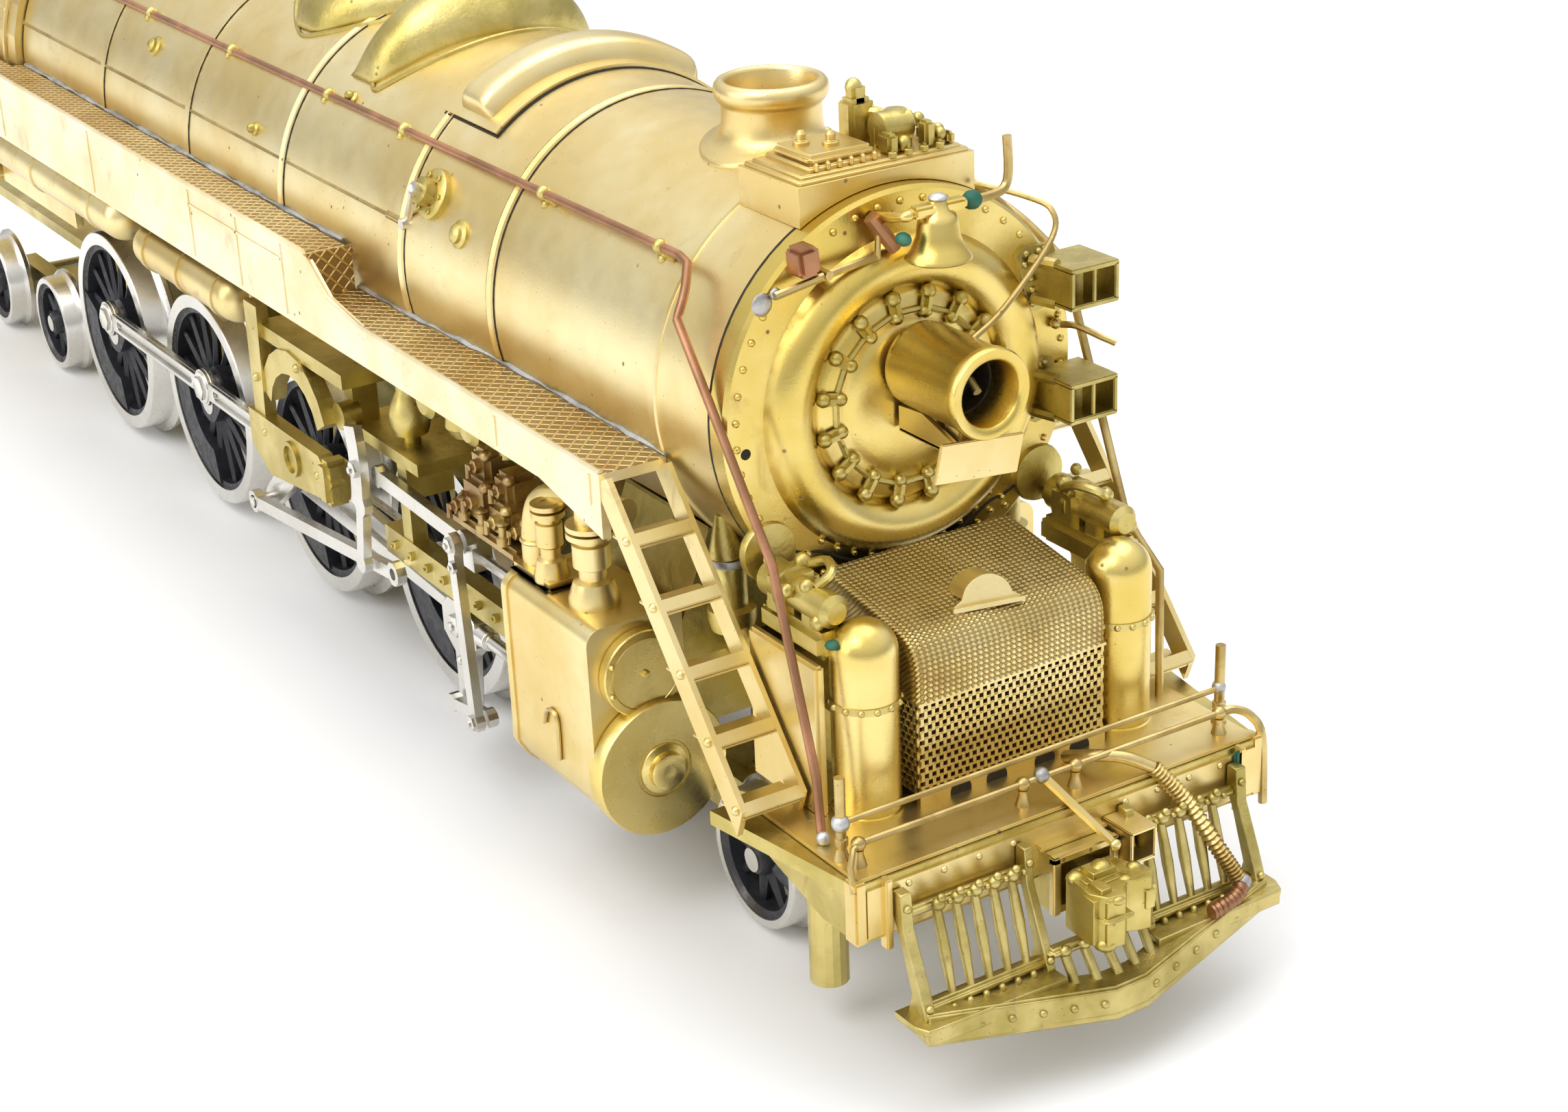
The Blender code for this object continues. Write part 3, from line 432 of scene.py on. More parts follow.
def painted(name, dark, worn, rough=0.45):
    """Paint worn through to metal in places; the near-black dark material reuses it for dark seams
    and painted shade.
    """
    n = Nodes(name)
    wear = n.ramp(n.noise(0.9, 6, 0.7), 0.58, 0.72, 0.0, 0.35)
    colour = n.mix(wear, dark, worn)
    return n.finish(colour, n.ramp(n.noise(1.5, 4), 0.3, 0.7, rough - 0.1, rough + 0.12),
                    n.noise(4.0, 4), 0.35, n.times(wear, 0.8))


BRASS = metal("brass", rgb(0.88, 0.75, 0.39), rgb(0.76, 0.58, 0.22))
SHEET = metal("brass_boiler", rgb(0.90, 0.78, 0.44), rgb(0.80, 0.62, 0.26), 0.33,
              stained=0.34, speck=0.22)
FACE = metal("brass_front", rgb(0.85, 0.69, 0.27), rgb(0.71, 0.53, 0.13), 0.27, stained=0.3,
             speck=0.08, low=0.35)
CAST = metal("brass_cast", rgb(0.70, 0.58, 0.22), rgb(0.50, 0.40, 0.11), 0.33,
             stained=0.35, speck=0.2, grain=0.5, lumps=1.6, scale=2.2)
GRIME = metal("brass_grimy", rgb(0.66, 0.55, 0.22), rgb(0.42, 0.34, 0.10), 0.36,
              stain=rgb(0.20, 0.12, 0.06), stained=0.6, speck=0.3, grain=0.6, lumps=1.6,
              low=0.6, scale=2.4)
RUST = metal("brass_browned", rgb(0.58, 0.44, 0.18), rgb(0.34, 0.21, 0.09), 0.36,
             stain=rgb(0.22, 0.10, 0.05), stained=0.8, speck=0.25, grain=0.6, lumps=1.6,
             low=0.6, scale=2.4)
# Paler, less saturated copy of the brass for the running boards and their edges: a painted
# highlight.
BRASS_PAINTED_HIGHLIGHT = metal("brass_valance_painted_highlight", rgb(0.95, 0.87, 0.64), rgb(0.87, 0.74, 0.44), 0.4,
             stain=rgb(0.45, 0.24, 0.16), stained=0.35, speck=0.1, scale=1.6)
COPPER = metal("copper_wire", rgb(0.55, 0.27, 0.15), rgb(0.33, 0.17, 0.09), 0.4,
               stained=0.6, scale=2.5)
WIRE = metal("brass_wire", rgb(0.70, 0.55, 0.24), rgb(0.44, 0.31, 0.11), 0.34, stained=0.5,
             scale=2.5)
NICKEL = metal("nickel_silver", rgb(0.80, 0.79, 0.75), rgb(0.68, 0.66, 0.61), 0.27,
               stain=rgb(0.40, 0.36, 0.29), stained=0.2, speck=0.03, grain=0.08, low=0.2,
               scale=1.2)
STEEL = metal("plain_steel", rgb(0.56, 0.56, 0.57), rgb(0.42, 0.42, 0.43), 0.33,
              stained=0.3, speck=0.1, low=0.2)
SOLDER = metal("solder", rgb(0.62, 0.62, 0.62), rgb(0.34, 0.33, 0.32), 0.42,
               stain=rgb(0.2, 0.17, 0.14), stained=0.6, grain=0.5, lumps=2.0, scale=4.0)
GREEN = metal("verdigris", rgb(0.10, 0.30, 0.22), rgb(0.06, 0.18, 0.13), 0.7,
              stain=rgb(0.3, 0.3, 0.12), stained=0.8, grain=1.0, lumps=1.5, scale=4.0)
TREAD = patterned("brass_tread", rgb(0.88, 0.70, 0.36), rgb(0.68, 0.48, 0.20), "tread")
DIMPLED = patterned("brass_dimpled", rgb(0.88, 0.74, 0.36), rgb(0.70, 0.54, 0.20), "dimple")
BLACK = painted("wheel_black", rgb(0.016, 0.017, 0.022), rgb(0.10, 0.11, 0.15))
# Near-black: dark seams at joints, and painted shade inside holes, the stack, the lamp and behind
# the guard's screen.
DARK_SEAMS_AND_SHADE = painted("dark_seams_and_painted_shade", rgb(0.018, 0.012, 0.006), rgb(0.08, 0.05, 0.02), 0.7)

LOOKS = {"brass": BRASS, "nickel": NICKEL, "black": BLACK, "steel": STEEL}
for row in frame["record"]["subparts"]:
    node = frame["nodes"][row["node"]]
    node.data.materials.clear()
    node.data.materials.append(LOOKS[row["material_slot"]])
    soften(node, 0.1)
# The running boards take the paler brass: painted highlight.
for name in ("running_board_right", "running_board_left"):
    frame["nodes"][name].data.materials[0] = BRASS_PAINTED_HIGHLIGHT
for name in ("main_frame", "motion_bracket_right", "motion_bracket_left", "pilot_deck",
             "cylinder_saddle", "lead_truck_frame", "trailing_truck_frame"):
    frame["nodes"][name].data.materials[0] = CAST


# ---------------------------------------------------------------- boiler
def boiler():
    """Barrel with its bands, plugs, throttle linkage and the solder along the boards."""
    stops = sorted({x for x, _ in BARREL} | {-1.95}, reverse=True)
    rows = [(x, barrel_r(x)) for x in stops]
    for x in BANDS:
        r = barrel_r(x)
        rows += [(x + BAND_W / 2 + 0.08, r), (x + BAND_W / 2, r + BAND_H),
                 (x - BAND_W / 2, r + BAND_H), (x - BAND_W / 2 - 0.08, r)]
    outside = sorted(set(rows), key=lambda p: -p[0])
    inside = [(x, r - 0.9) for x, r in reversed(BARREL)]
    bm = bmesh.new()
    lathe(bm, outside + inside, (0, 0, BOILER_Z), X, 128, closed=True)
    piece("boiler_barrel", bm, SHEET, replaces="boiler_shell", angle=25)

    bm = bmesh.new()
    for x in BANDS[1:]:
        for side in SIDES:
            tube(bm, [on_boiler(x + side * (BAND_W / 2 + 0.1), a, 0.02)[0]
                      for a in range(-20, 201, 5)], 0.07, 5)
    piece("boiler_band_seams", bm, DARK_SEAMS_AND_SHADE)

    # washout plugs, small rivets and the lubricator flange on the right of the barrel
    bm = bmesh.new()
    for x, deg, r in ((-35.5, 161, 0.9), (-57.5, 138, 0.5), (-71.0, 160, 0.5),
                      (-95.0, 150, 0.8), (-35.5, 19, 0.9), (-95.0, 30, 0.8)):
        at, out = on_boiler(x, deg)
        lathe(bm, [(-0.2, r * 1.15), (0.1, r * 1.15), (0.25, r * 0.8), (0.5, r * 0.75),
                   (0.7, r * 0.4), (0.72, 0)], at, out, 24)
    at, out = on_boiler(-40.0, 153.5)
    lathe(bm, [(-0.3, 1.9), (0.35, 1.9), (0.5, 1.7), (0.55, 1.1), (1.4, 1.0), (1.5, 0.6),
               (1.5, 0)], at, out, 28)
    for i in range(6):
        t = i * tau / 6
        u = out.cross(X)
        bolt(bm, at + 1.45 * (cos(t) * X + sin(t) * u) + 0.5 * out, out, 0.24, 0.2)
    piece("boiler_plugs", bm, CAST)

    bm = bmesh.new()
    lever = Vector((-43.2, -13.4, 41.9))
    hub = at + out * 1.5
    tube(bm, [hub, hub + out * 0.5], 0.5, 12)
    tube(bm, [hub + out * 0.4, lever + Vector((0, -0.1, 0))], lambda t: 0.34 - 0.1 * t, 8)
    tube(bm, [lever + Y * 0.3, lever - Y * 0.7], 0.42, 14)
    piece("throttle_lever", bm, NICKEL)
    bm = bmesh.new()
    tube(bm, [lever - 0.2 * Y, (-65, -13.75, 42.0), (-85.7, -13.75, 42.1),
              (-148, -13.75, 42.2)], 0.22, 8)
    lathe(bm, [(0, 0.34), (3.0, 0.34), (3.1, 0.2), (3.1, 0)], lever - 0.2 * Y, -X, 10)
    for x in (-64.0, -86.0, -108.0, -128.0):
        tube(bm, [(x, -13.0, 42.6), (x, -13.75, 42.1)], 0.3, 8)
    piece("throttle_rod", bm, WIRE)

    # solder run where the boards meet the barrel
    for side in SIDES:
        bm = bmesh.new()
        for x0, x1, z in ((-52.4, -8.0, BOARD_Z), (-127.0, -53.4, BOARD_HIGH_Z)):
            count = int((x1 - x0) / 0.9)
            points = []
            for i in range(count + 1):
                x = x0 + (x1 - x0) * i / count
                reach = sqrt(barrel_r(x) ** 2 - (z - BOILER_Z) ** 2)
                wobble = 0.10 * sin(1.7 * x) + 0.05 * sin(4.1 * x)
                points.append((x, side * (reach + 0.12), z + 0.12 + 0.5 * wobble))
            tube(bm, points, lambda t: 0.2 + 0.09 * sin(37.0 * t * count / 50), 6)
        piece(f"board_solder_{SIDES[side]}", bm, SOLDER)


def saddle_points(x_low, x_high, spread, height, rows, columns, lift=0.0):
    """Grid of points of a casting that wraps over the barrel."""
    grid = []
    for i in range(rows + 1):
        v = -1 + 2 * i / rows
        line = []
        for j in range(columns + 1):
            u = -1 + 2 * j / columns
            x = x_low(v) + (x_high(v) - x_low(v)) * (u + 1) / 2
            line.append(on_boiler(x, 90 - spread * v, lift + height(u, v))[0])
        grid.append(line)
    return grid


def drape(bm, x_low, x_high, spread, height, rows=56, columns=20):
    """Closed casting over the barrel: its outer face follows a height rule."""
    top = saddle_points(x_low, x_high, spread, height, rows, columns)
    low = saddle_points(x_low, x_high, spread, lambda u, v: -0.12, rows, columns)
    rings = [[*t, *reversed(b)] for t, b in zip(top, low)]
    skin(bm, rings)


def domes():
    """Sand box, steam dome and check valve saddle, draped over the barrel."""
    def body(u, v, sharp, tall):
        return 0.25 + tall * max(0.0, 1 - abs(u) ** sharp) ** 0.8 \
            * max(0.0, 1 - abs(v) ** 2.2) ** 0.9

    bm = bmesh.new()
    drape(bm, lambda v: -59.5 + 1.0 * (1 - abs(v)),
          lambda v: -56.5 + 5.8 * (1 - abs(v)) ** 0.6, 42,
          lambda u, v: body(u, v, 2.6, 3.5))
    piece("sand_box", bm, CAST, replaces="sand_dome", angle=60)
    bm = bmesh.new()
    drape(bm, lambda v: -73.0 - 7.5 * (1 - abs(v)) ** 0.7,
          lambda v: -70.5 + 9.0 * (1 - abs(v)) ** 0.6, 34,
          lambda u, v: body(u, v, 3.2, 3.4))
    piece("steam_dome_casting", bm, CAST, replaces="steam_dome", angle=60)
    bm = bmesh.new()
    for low, high, spread in ((-60.6, -50.0, 43.0), (-81.8, -61.0, 36.0)):
        mid, half = (low + high) / 2, (high - low) / 2
        edge = [on_boiler(mid + half * sin(t) * (1 - 0.55 * abs(cos(t)) ** 3),
                          90 + spread * cos(t), 0.06)[0]
                for t in (tau * i / 72 for i in range(73))]
        tube(bm, edge, 0.2, 6)
    piece("dome_flanges", bm, CAST)

    bm = bmesh.new()
    drape(bm, lambda v: -44.2, lambda v: -36.6, 40,
          lambda u, v: 0.32, 48, 4)
    drape(bm, lambda v: -42.4, lambda v: -38.2, 37,
          lambda u, v: 0.3 + 1.45 * max(0.0, 1 - abs(u) ** 5) ** 0.6
          * max(0.0, 1 - abs(v) ** 24) ** 0.6, 64, 14)
    piece("check_valve_saddle", bm, SHEET, replaces="check_valve_cover", angle=50)
    bm = bmesh.new()
    for x in (-44.3, -36.5):
        tube(bm, [on_boiler(x, 90 - 40 * i / 12, 0.03)[0] for i in range(-12, 13)], 0.09, 5)
    for sign in (-1, 1):
        tube(bm, [on_boiler(-44.3 + 7.8 * i / 6, 90 + 40.4 * sign, 0.03)[0]
                  for i in range(7)], 0.09, 5)
    piece("check_valve_seam", bm, DARK_SEAMS_AND_SHADE)


def stack():
    """Chimney with a flared base that follows the barrel."""
    def ring(radius):
        return [(STACK_X + radius * cos(t), radius * sin(t))
                for t in (i * tau / STACK_SIDES for i in range(STACK_SIDES))]

    def draped(radius, lift):
        return [Vector((x, y, BOILER_Z + sqrt(barrel_r(x) ** 2 - y * y) + lift))
                for x, y in ring(radius)]

    bm = bmesh.new()
    rings = [draped(4.85, -0.1), draped(4.85, 0.2), draped(4.7, 0.3), draped(4.1, 0.4),
             draped(3.65, 0.65), draped(3.4, 1.1), draped(3.33, 1.9)]
    for z, r in ((54.2, 3.33), (54.4, 3.38), (54.55, 3.6), (54.85, 3.76), (55.2, 3.82),
                 (55.55, 3.75), (55.8, 3.55), (55.9, 3.28), (55.82, 3.08), (55.6, 2.97),
                 (52.4, 2.92), (52.3, 0)):
        rings.append([Vector((x, y, z)) for x, y in ring(r)] if r else [Vector((STACK_X, 0, z))])
    skin(bm, rings)
    piece("stack", bm, SHEET, replaces="smokestack", angle=50)
    # Near-black disc deep inside the stack: painted shade.
    bm = bmesh.new()
    lathe(bm, [(52.32, 0), (52.34, 2.78), (52.4, 0)], (STACK_X, 0, 0), Z, 40)
    piece("stack_bottom", bm, DARK_SEAMS_AND_SHADE)


# ---------------------------------------------------------------- smokebox front
def smokebox():
    """Smokebox front with its ring, rivets, seams and clamps."""
    bm = bmesh.new()
    rows = [(-1.6, 0), (-1.6, 13.0), (-1.86, 13.2), (-1.78, 13.4), (-0.25, 13.4), (0, 13.15)]
    rows += [(0.0, 11.2), (0.05, 10.6)]
    for i in range(1, 14):              # the big raised ring
        t = pi * i / 14
        rows.append((0.1 + 1.45 * sin(t) ** 1.3, 8.75 + 1.75 * cos(t)))
    rows += [(0.45, 6.9), (0.7, 6.6), (0.72, 5.2)]
    for i in range(1, 10):              # dished centre
        t = i / 9 * pi / 2
        rows.append((0.7 + 0.75 * sin(t), 4.75 * cos(t) + 0.25 * (1 - i / 9)))
    rows[-1] = (rows[-1][0], 0)
    lathe(bm, rows, (0, 0, BOILER_Z), X, 128)
    piece("smokebox_door", bm, FACE, replaces="smokebox_front", angle=40)

    bm = bmesh.new()
    for i in range(RIM_RIVETS):
        t = tau * (i + 0.5) / RIM_RIVETS
        rivet(bm, (0.0, 12.55 * cos(t), BOILER_Z + 12.55 * sin(t)), X, 0.26, 0.24)
    for radius, half, number in ((10.75, 38, 11), (11.9, 40, 15)):
        for i in range(number):
            t = radians(-90 - half + 2 * half * i / (number - 1))
            rivet(bm, (0.05, radius * cos(t), BOILER_Z + radius * sin(t)), X, 0.24, 0.24)
    piece("smokebox_rivets", bm, FACE)

    bm = bmesh.new()
    seam = [(12.3, -136), (11.9, -131), (11.35, -126), *[(11.3, a) for a in range(-118, -61, 8)],
            (11.35, -54), (11.9, -49), (12.3, -44)]
    tube(bm, [hoop(0.02, r, [a])[0] for r, a in seam], 0.1, 6, 4)
    tube(bm, hoop(-1.75, 13.36, range(0, 361, 6)), 0.1, 6)
    piece("smokebox_seams", bm, DARK_SEAMS_AND_SHADE)
    # Near-black disc for the hole in the front: painted shade.
    bm = bmesh.new()
    lathe(bm, [(-0.2, 0.36), (0.02, 0.36), (0.03, 0)], (0, -11.9, 37.0), X, 16)
    piece("smokebox_hole", bm, DARK_SEAMS_AND_SHADE)

    bm = bmesh.new()                    # clamps round the door
    for i in range(DOOR_CLAMPS):
        t = tau * (i + 0.5) / DOOR_CLAMPS
        turn = Matrix.Translation((0.6, 0, BOILER_Z)) @ Matrix.Rotation(t, 4, "X")
        block(bm, (0.0, 5.35, -0.42), (0.75, 7.0, 0.42), 0.3, turn)
        for y, r in ((6.85, 0.52), (5.55, 0.46)):
            at = turn @ Vector((0.35, y, 0))
            ball(bm, at, r, X, 0.95, 10)
        a, b = (turn @ Matrix.Rotation(s * 0.07, 4, "X") @ Vector((0.2, 5.75, 0))
                for s in (1.0, 4.6))
        tube(bm, [a, b], 0.22, 6)
    piece("door_clamps", bm, CAST)


def headlight():
    """Lamp barrel, its inside and wiring, and the shelf with the number board."""
    bm = bmesh.new()
    lathe(bm, [(1.6, 0), (1.6, 2.5), (1.9, 2.72), (2.3, 2.78), (8.3, 2.8), (8.4, 2.9),
               (9.15, 2.92), (9.3, 2.82), (9.3, 2.3), (9.1, 2.12), (4.8, 2.05), (4.8, 0)],
          (0, 0, HEADLIGHT_Z), X, 64)
    piece("headlight_barrel", bm, FACE, replaces="headlight", angle=50)
    # Near-black back and lining inside the lamp barrel: painted shade.
    bm = bmesh.new()
    lathe(bm, [(4.82, 2.03), (4.9, 0)], (0, 0, HEADLIGHT_Z), X, 32)
    lathe(bm, [(4.85, 2.04), (6.5, 2.06), (6.4, 1.96), (4.9, 1.92)], (0, 0, HEADLIGHT_Z), X, 32,
          closed=True)
    piece("headlight_inside", bm, DARK_SEAMS_AND_SHADE)
    bm = bmesh.new()
    tube(bm, [(5.0, -0.2, 41.4), (6.6, 0.4, 40.9), (7.4, 0.3, 40.4)], 0.28, 10)
    piece("headlight_bulb", bm, STEEL)
    bm = bmesh.new()                    # wiring slot with its solder in the barrel's side
    block(bm, (3.7, -2.55, 40.2), (5.3, -2.25, 41.7), 0.1)
    piece("headlight_slot", bm, COPPER)
    bm = bmesh.new()
    for x, z, r in ((4.9, 40.4, 0.5), (5.2, 41.2, 0.36), (4.6, 40.9, 0.3), (5.5, 39.9, 0.3)):
        ball(bm, (x, -2.42, z), r, Y, 0.4, 10)
    piece("headlight_solder", bm, SOLDER)

    bm = bmesh.new()
    block(bm, (1.7, -1.6, 36.6), (7.6, 1.6, 36.9), 0.08)
    for y in (-1.6, 1.25):
        prism(bm, [(1.7, 36.6), (7.4, 36.6), (7.4, 37.5), (4.2, 38.5), (1.7, 38.3)], "Y",
              y, y + 0.35)
    block(bm, (5.6, -1.0, 36.9), (7.3, 1.0, 38.6), 0.15)
    tube(bm, [(4.6, 0.9, 36.9), (4.9, 0.8, 38.6)], 0.3, 8)
    tube(bm, [(3.2, -0.8, 36.9), (3.0, -0.6, 38.6)], 0.25, 8)
    tilt = Matrix.Translation((7.9, 0, 36.3)) @ Matrix.Rotation(radians(-6), 4, "X") \
        @ Matrix.Rotation(radians(8), 4, "Y")
    block(bm, (-0.14, -3.15, -1.35), (0.14, 3.15, 1.35), 0.06, tilt)
    piece("headlight_shelf", bm, BRASS, replaces="number_board")


def bell():
    """Bell with its yoke, foot, wires and green spots."""
    bm = bmesh.new()
    lathe(bm, [(48.0, 1.75), (47.9, 2.0), (48.0, 2.12), (48.25, 2.05), (48.7, 1.66),
               (49.4, 1.38), (50.3, 1.26), (50.75, 1.1), (51.0, 0.7), (51.6, 0.55), (51.7, 0)],
          (3.4, 0.4, 0), Z, 48)
    lathe(bm, [(47.95, 1.95), (48.0, 1.7), (49.5, 1.1), (50.2, 0)], (3.4, 0.4, 0), Z, 48)
    block(bm, (2.9, -1.6, 50.75), (3.9, 2.4, 51.5), 0.2)
    tube(bm, [(3.4, -1.6, 51.1), (3.4, -2.1, 51.0), (0.2, -2.2, 50.3)], 0.34, 8, 6)
    piece("bell_casting", bm, FACE, replaces="bell", angle=50)
    bm = bmesh.new()
    block(bm, (-0.3, -3.5, 48.3), (1.5, -1.9, 50.2), 0.3, Matrix.Rotation(0.1, 4, "X"))
    tube(bm, [(1.0, -2.9, 50.6), (1.4, -1.4, 48.4)], 0.5, 8)
    piece("bell_foot", bm, COPPER)
    bm = bmesh.new()
    tube(bm, [(3.4, 2.2, 51.1), (3.3, 4.6, 51.1), (3.2, 5.6, 51.4), (3.2, 5.9, 52.4),
              (3.2, 5.8, 54.6)], 0.3, 8, 5)
    tube(bm, [(-0.8, 6.3, 50.6), (2.0, 8.2, 50.0), (3.6, 9.0, 49.3), (4.2, 8.4, 47.6),
              (5.2, 4.0, 44.4), (5.9, 0.8, 43.1)], 0.2, 8, 6)
    piece("bell_wires", bm, WIRE)
    bm = bmesh.new()
    ball(bm, (3.35, 3.0, 51.1), 0.62, Y, 1.1, 12)
    ball(bm, (3.3, -2.1, 49.6), 0.45, X, 1.4, 10)
    piece("bell_green", bm, GREEN)
    bm = bmesh.new()
    ball(bm, (3.4, 0.4, 51.75), 0.62, Z, 0.45, 12)
    piece("bell_solder", bm, SOLDER)


def front_brackets():
    """Two open step brackets on the left of the smokebox front."""
    bm = bmesh.new()
    for z in (42.9, 35.2):
        prism(bm, [(8.7, z + 2.7), (9.4, z + 3.2), (11.6, z + 3.0), (12.2, z + 1.4),
                   (12.2, z - 0.9), (10.2, z - 1.3), (9.6, z - 1.0)], "X", -0.1, 0.35)
        for part in (((0.2, 10.0, z + 2.1), (4.3, 13.9, z + 2.45)),
                     ((0.2, 10.0, z - 0.35), (4.3, 13.9, z)),
                     ((0.2, 10.0, z - 0.2), (4.3, 10.35, z + 2.3)),
                     ((0.2, 13.55, z - 0.2), (4.3, 13.9, z + 2.3)),
                     ((3.1, 11.85, z - 0.2), (4.2, 12.15, z + 2.3)),
                     ((0.3, 10.2, z - 0.2), (2.6, 13.7, z + 2.3))):
            block(bm, *part, 0.07)
        tube(bm, [(0.6, 9.7, z + 2.3), (2.6, 10.2, z + 2.35)], 0.42, 8)
        tube(bm, [(0.6, 9.9, z - 0.3), (2.6, 10.3, z - 0.25)], 0.42, 8)
        for y, dz in ((9.4, 2.9), (10.4, 2.9), (9.3, 2.2), (9.9, 0.4), (9.9, -0.5),
                      (10.9, 2.95), (9.75, 1.2)):
            rivet(bm, (0.35, y, z + dz - 0.2), X, 0.26, 0.3)
    piece("step_brackets", bm, GRIME)

    bm = bmesh.new()
    tube(bm, [(0.9, -9.9, 47.0), (1.1, -6.5, 47.6), (1.1, -2.6, 48.1)], 0.27, 8)
    tube(bm, [(0.0, -6.3, 47.7), (1.5, -6.3, 47.7)], 0.3, 8)
    tube(bm, [(0.0, -2.6, 48.0), (1.2, -2.6, 48.1), (1.2, -2.5, 49.6)], 0.22, 8)
    tube(bm, [on_boiler(-2.6, a, 0.45)[0] for a in range(66, 27, -4)], 0.3, 8)
    tube(bm, [(0.5, 12.2, 40.3), (1.6, 12.6, 40.4), (3.2, 13.4, 39.9), (4.0, 13.9, 39.6)],
         0.24, 8, 5)
    ball(bm, (0.3, 11.9, 40.4), 0.4, X, 1.0, 10)
    piece("front_grabs", bm, WIRE)
    bm = bmesh.new()
    ball(bm, (0.2, -10.4, 46.4), 0.75, X, 0.3, 12)
    ball(bm, (0.5, -9.6, 47.0), 0.4, X, 0.6, 10)
    piece("front_grab_solder", bm, SOLDER)


def heater():
    """Feedwater heater box with pump and valve castings on its lid."""
    bm = bmesh.new()
    half = 6.6
    edge = degrees(acos(half / 13.43))
    prism(bm, [(half, 52.6), (-half, 52.6), *arc(0, BOILER_Z, 13.43, 180 - edge, edge, 24)],
          "X", -8.1, -1.2)
    block(bm, (-7.85, -6.35, 52.5), (-1.45, 6.35, 52.85), 0.08)
    block(bm, (-7.5, -6.0, 52.7), (-1.8, 6.0, 53.05), 0.08)
    block(bm, (-7.2, -5.2, 52.9), (-2.2, 0.3, 53.35), 0.1)
    block(bm, (-6.9, -4.9, 53.2), (-2.5, 0.0, 53.95), 0.28)
    for i in range(6):
        block(bm, (-2.35, -4.8 + 0.86 * i, 53.0), (-1.95, -4.5 + 0.86 * i, 53.6), 0.08)
    for x, y in ((-5.4, -3.6), (-4.2, -2.2)):
        lathe(bm, [(53.9, 0.55), (54.15, 0.55), (54.2, 0.3), (54.6, 0.34), (54.8, 0.2),
                   (54.85, 0)], (x, y, 0), Z, 14)
    piece("heater_box", bm, BRASS, replaces="feedwater_heater", bevel=0.1)

    bm = bmesh.new()                    # pump and valve castings on the lid
    lathe(bm, [(52.9, 1.0), (54.9, 0.95), (55.2, 0.7), (55.3, 0)], (-4.6, 3.0, 0), Z, 24)
    lathe(bm, [(-1.2, 0.0), (-1.2, 1.05), (1.0, 1.05), (1.2, 0.8), (1.2, 0)],
          (-4.4, 2.6, 54.2), Y, 24)
    block(bm, (-7.3, 0.3, 53.0), (-5.6, 2.2, 55.9), 0.3)
    block(bm, (-7.0, 0.7, 55.2), (-5.9, 1.8, 56.8), 0.25)
    for lo, hi in (((-3.6, 0.8, 53), (-2.2, 1.6, 54.3)), ((-3.2, 3.6, 53), (-2.2, 4.4, 54.7)),
                   ((-6.4, 3.8, 53), (-5.2, 5.0, 54.6)), ((-4.6, 4.4, 53), (-3.0, 5.4, 54.0)),
                   ((-7.2, 2.4, 53), (-6.2, 3.2, 54.8)), ((-2.9, 5.2, 53), (-2.0, 5.8, 53.8))):
        block(bm, lo, hi, 0.2)
    for x, y, z, r in ((-2.6, 2.2, 53.5, 0.5), (-5.6, 5.4, 53.9, 0.45), (-3.7, 5.6, 53.6, 0.4),
                       (-2.5, 4.9, 53.7, 0.4), (-6.6, 1.2, 56.5, 0.55), (-7.1, 5.8, 53.4, 0.3)):
        ball(bm, (x, y, z), r, Z, 1.1, 10)
    for i in range(4):
        lathe(bm, [(53, 0.18), (54.2, 0.18), (54.3, 0)], (-3.2 - 0.5 * i, 1.55, 0), Z, 8)
        bolt(bm, (-2.0, 0.9 + 1.2 * i, 53.05), Z, 0.3, 0.3)
    tube(bm, [(-6.6, 1.4, 54.6), (-5.6, 2.0, 55.0), (-4.8, 2.6, 54.6)], 0.36, 8, 5)
    piece("heater_castings", bm, CAST)


def handrails():
    """Rail along the boiler and down to the deck, and its posts."""
    for side in SIDES:
        bm = bmesh.new()
        line = [(-150.5, side * RAIL_Y, RAIL_Z), (-80, side * RAIL_Y, RAIL_Z - 0.1),
                (-7.7, side * RAIL_Y, RAIL_Z)]
        if side < 0:
            bend = [(-6.4, -11.6, 47.6), (-5.2, -12.6, 46.3), (-4.6, -13.6, 44.9)]
            down = [(5.8, -13.9, 32.1), (10.6, -14.4, 19.9), (11.3, -14.6, 16.0)]
        else:
            bend = [(-6.4, 11.6, 47.6), (-4.2, 12.9, 46.0), (-1.6, 14.2, 43.6)]
            down = [(-0.3, 14.3, 39.9), (4.9, 14.3, 27.4), (8.3, 14.3, 25.0), (8.5, 14.3, 15.8)]
        tube(bm, [*line, *curve(bend, 4), *down], 0.3, 10)
        piece(f"handrail_{SIDES[side]}", bm, COPPER if side < 0 else WIRE)
        bm = bmesh.new()
        for x in (-10.0, -25.4, -46.8, -60.2, -79.5, -98.0, -116.0, -138.0):
            ball(bm, (x, side * RAIL_Y, RAIL_Z), 0.52, X, 0.9, 14)
            tube(bm, [(x, side * RAIL_Y, RAIL_Z), (x, side * (RAIL_Y - 0.9), RAIL_Z - 0.9)],
                 0.3, 8)
            at, out = on_boiler(x - 1.2, 90 - side * 52.0)
            ball(bm, at, 0.42, out, 0.7, 10)
        piece(f"rail_posts_{SIDES[side]}", bm, CAST)


